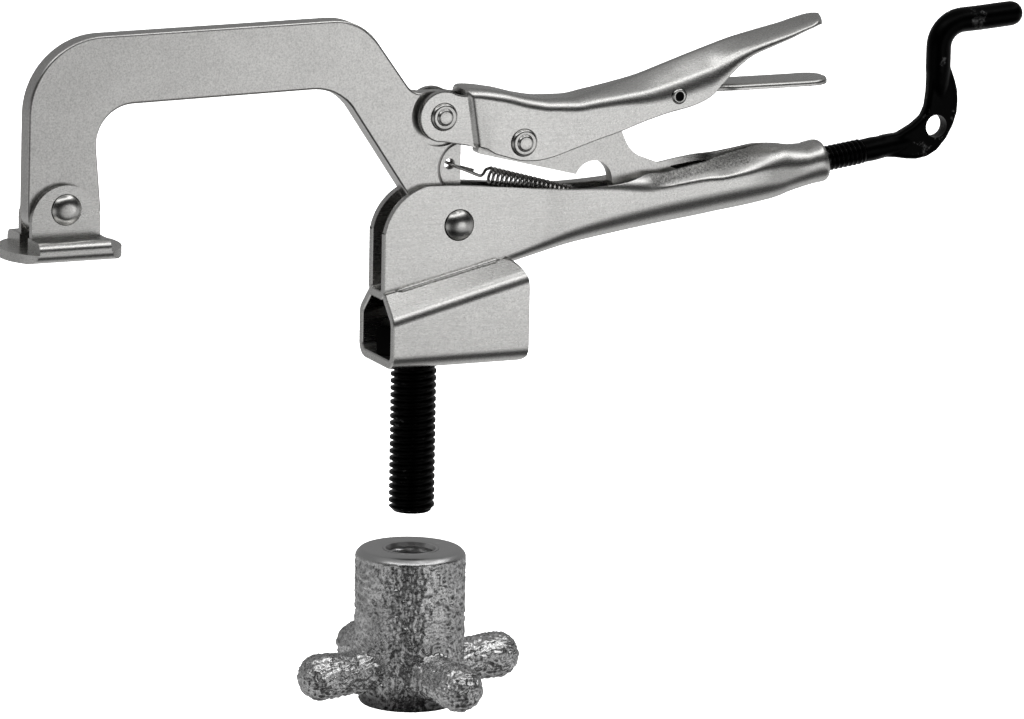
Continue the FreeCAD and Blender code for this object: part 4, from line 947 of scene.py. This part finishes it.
# The floor lies below the hand nut at the lowest end of its travel.
NUT_DROP = 46.0 * MM
lowest = CAD_BOX[0][2] - NUT_DROP
floor_mesh = bpy.data.meshes.new("floor")
reach = 8.0
floor_mesh.from_pydata([(-reach, -reach, lowest), (reach, -reach, lowest), (reach, reach, lowest),
                        (-reach, reach, lowest)], [], [(0, 1, 2, 3)])
floor = bpy.data.objects.new("floor", floor_mesh)
scene.collection.objects.link(floor)
pale, shader, add, link = material("pale_floor")
shader.inputs["Base Color"].default_value = (0.93, 0.93, 0.93, 1.0)
shader.inputs["Roughness"].default_value = 0.9
shader.inputs["Specular IOR Level"].default_value = 0.0
shader.inputs["Emission Color"].default_value = (1.0, 1.0, 1.0, 1.0)
shader.inputs["Emission Strength"].default_value = 0.75
floor_mesh.materials.append(pale)
floor.visible_glossy = False

AZIMUTH, ELEVATION, ROLL = math.radians(-24.0), math.radians(12.0), math.radians(1.1)
back = Vector((math.sin(AZIMUTH) * math.cos(ELEVATION), -math.cos(AZIMUTH) * math.cos(ELEVATION),
               math.sin(ELEVATION)))
level = Vector((math.cos(AZIMUTH), math.sin(AZIMUTH), 0.0))
rise = back.cross(level)
right = level * math.cos(ROLL) + rise * math.sin(ROLL)
up = rise * math.cos(ROLL) - level * math.sin(ROLL)
DISTANCE, SHIFT_RIGHT, SHIFT_UP = 1.9022, 0.02671, 0.00022
camera_data = bpy.data.cameras.new("camera")
camera_data.lens = 246.09
camera_data.sensor_width = 36.0
camera = bpy.data.objects.new("camera", camera_data)
turn = Matrix((right, up, back)).transposed().to_4x4()
camera.matrix_world = Matrix.Translation(right * SHIFT_RIGHT + up * SHIFT_UP + back * DISTANCE) @ turn
scene.collection.objects.link(camera)
scene.camera = camera

world = bpy.data.worlds.new("studio")
scene.world = world
world.use_nodes = True
tree = world.node_tree
shader = tree.nodes["Background"]


def world_node(kind, **values):
    node = tree.nodes.new("ShaderNode" + kind)
    for key, value in values.items():
        setattr(node, key, value)
    return node


direction = world_node("TexCoord").outputs["Generated"]
split = world_node("SeparateXYZ")
tree.links.new(direction, split.inputs[0])
height = world_node("MapRange")
height.inputs["From Min"].default_value = -1.0
tree.links.new(split.outputs["Z"], height.inputs["Value"])


def world_ramp(source, stops):
    """A ramp over the sine of the elevation, from -1 to 1."""
    node = world_node("ValToRGB")
    band = node.color_ramp
    band.interpolation = "EASE"
    while len(band.elements) < len(stops):
        band.elements.new(0.5)
    for element, (place, grey) in zip(band.elements, stops):
        element.position = (place + 1) / 2
        element.color = (grey, grey, grey, 1.0)
    tree.links.new(source, node.inputs["Fac"])
    return node.outputs["Color"]


ahead = world_ramp(height.outputs["Result"], [
    (-1.0, 0.24), (-0.92, 0.17), (-0.84, 0.03), (-0.56, 0.02), (-0.42, 0.22), (-0.20, 0.23), (-0.04, 0.16),
    (0.08, 0.03), (0.20, 0.005), (0.50, 0.01), (0.64, 0.16), (0.74, 1.0), (0.81, 0.80), (0.88, 0.14),
    (1.0, 0.14)])
behind = world_ramp(height.outputs["Result"], [
    (-1.0, 0.24), (-0.75, 0.26), (-0.45, 0.20), (0.0, 0.11), (0.30, 0.10), (0.62, 0.09), (0.84, 0.10), (1.0, 0.14)])
facing = world_node("MapRange", interpolation_type="SMOOTHSTEP")
facing.inputs["From Min"].default_value = -0.25
facing.inputs["From Max"].default_value = 0.25
tree.links.new(split.outputs["Y"], facing.inputs["Value"])
both = world_node("Mix", data_type="RGBA")
tree.links.new(facing.outputs["Result"], both.inputs[0])
tree.links.new(behind, both.inputs[7])
# A dark flag stands in front, and the light comes from both of its sides.
sideways = world_node("VectorMath", operation="DOT_PRODUCT")
sideways.inputs[1].default_value = (0.9135, -0.4067, 0.0)
tree.links.new(direction, sideways.inputs[0])
apart = world_node("Math", operation="ABSOLUTE")
tree.links.new(sideways.outputs["Value"], apart.inputs[0])
flag = world_node("MapRange", interpolation_type="SMOOTHSTEP")
flag.inputs["From Min"].default_value = 0.15
flag.inputs["From Max"].default_value = 0.62
flag.inputs["To Min"].default_value = 0.2
tree.links.new(apart.outputs[0], flag.inputs["Value"])
opened = world_node("MapRange", interpolation_type="SMOOTHSTEP")
opened.inputs["From Min"].default_value = 0.45
opened.inputs["From Max"].default_value = 0.75
tree.links.new(split.outputs["Z"], opened.inputs["Value"])
shade = world_node("Math", operation="MAXIMUM")
tree.links.new(flag.outputs["Result"], shade.inputs[0])
tree.links.new(opened.outputs["Result"], shade.inputs[1])
lit = world_node("Mix", data_type="RGBA", blend_type="MULTIPLY")
lit.inputs[0].default_value = 1.0
tree.links.new(ahead, lit.inputs[6])
tree.links.new(shade.outputs[0], lit.inputs[7])
tree.links.new(lit.outputs[2], both.inputs[6])
tree.links.new(both.outputs[2], shader.inputs["Color"])
shader.inputs["Strength"].default_value = 2.4


def area_light(name, size, watts, place, aim=None):
    """A rectangular lamp that faces straight down, or towards aim."""
    lamp = bpy.data.lights.new(name, "AREA")
    lamp.shape = "RECTANGLE"
    lamp.size, lamp.size_y = size
    lamp.energy = watts
    made = bpy.data.objects.new(name, lamp)
    made.location = place
    if aim:
        made.rotation_euler = (aim - made.location).to_track_quat("-Z", "Y").to_euler()
    scene.collection.objects.link(made)
    return made


CARD_AIM = Vector((0.022, 0.0, 0.088))
area_light("front_card", (0.28, 0.18), 0.13, CARD_AIM + Vector((0.398, -0.893, -0.19)) * 0.62, CARD_AIM)
SLOPE_AIM = Vector((0.010, -0.009, 0.027))
area_light("slope_card", (0.08, 0.05), 0.025, SLOPE_AIM + Vector((0.13, -0.27, 0.94)) * 0.30, SLOPE_AIM)
overhead = area_light("overhead", (5.0, 5.0), 150.0, (0.0, 0.6, 2.6))
overhead.visible_glossy = False

scene.view_settings.view_transform = "Standard"
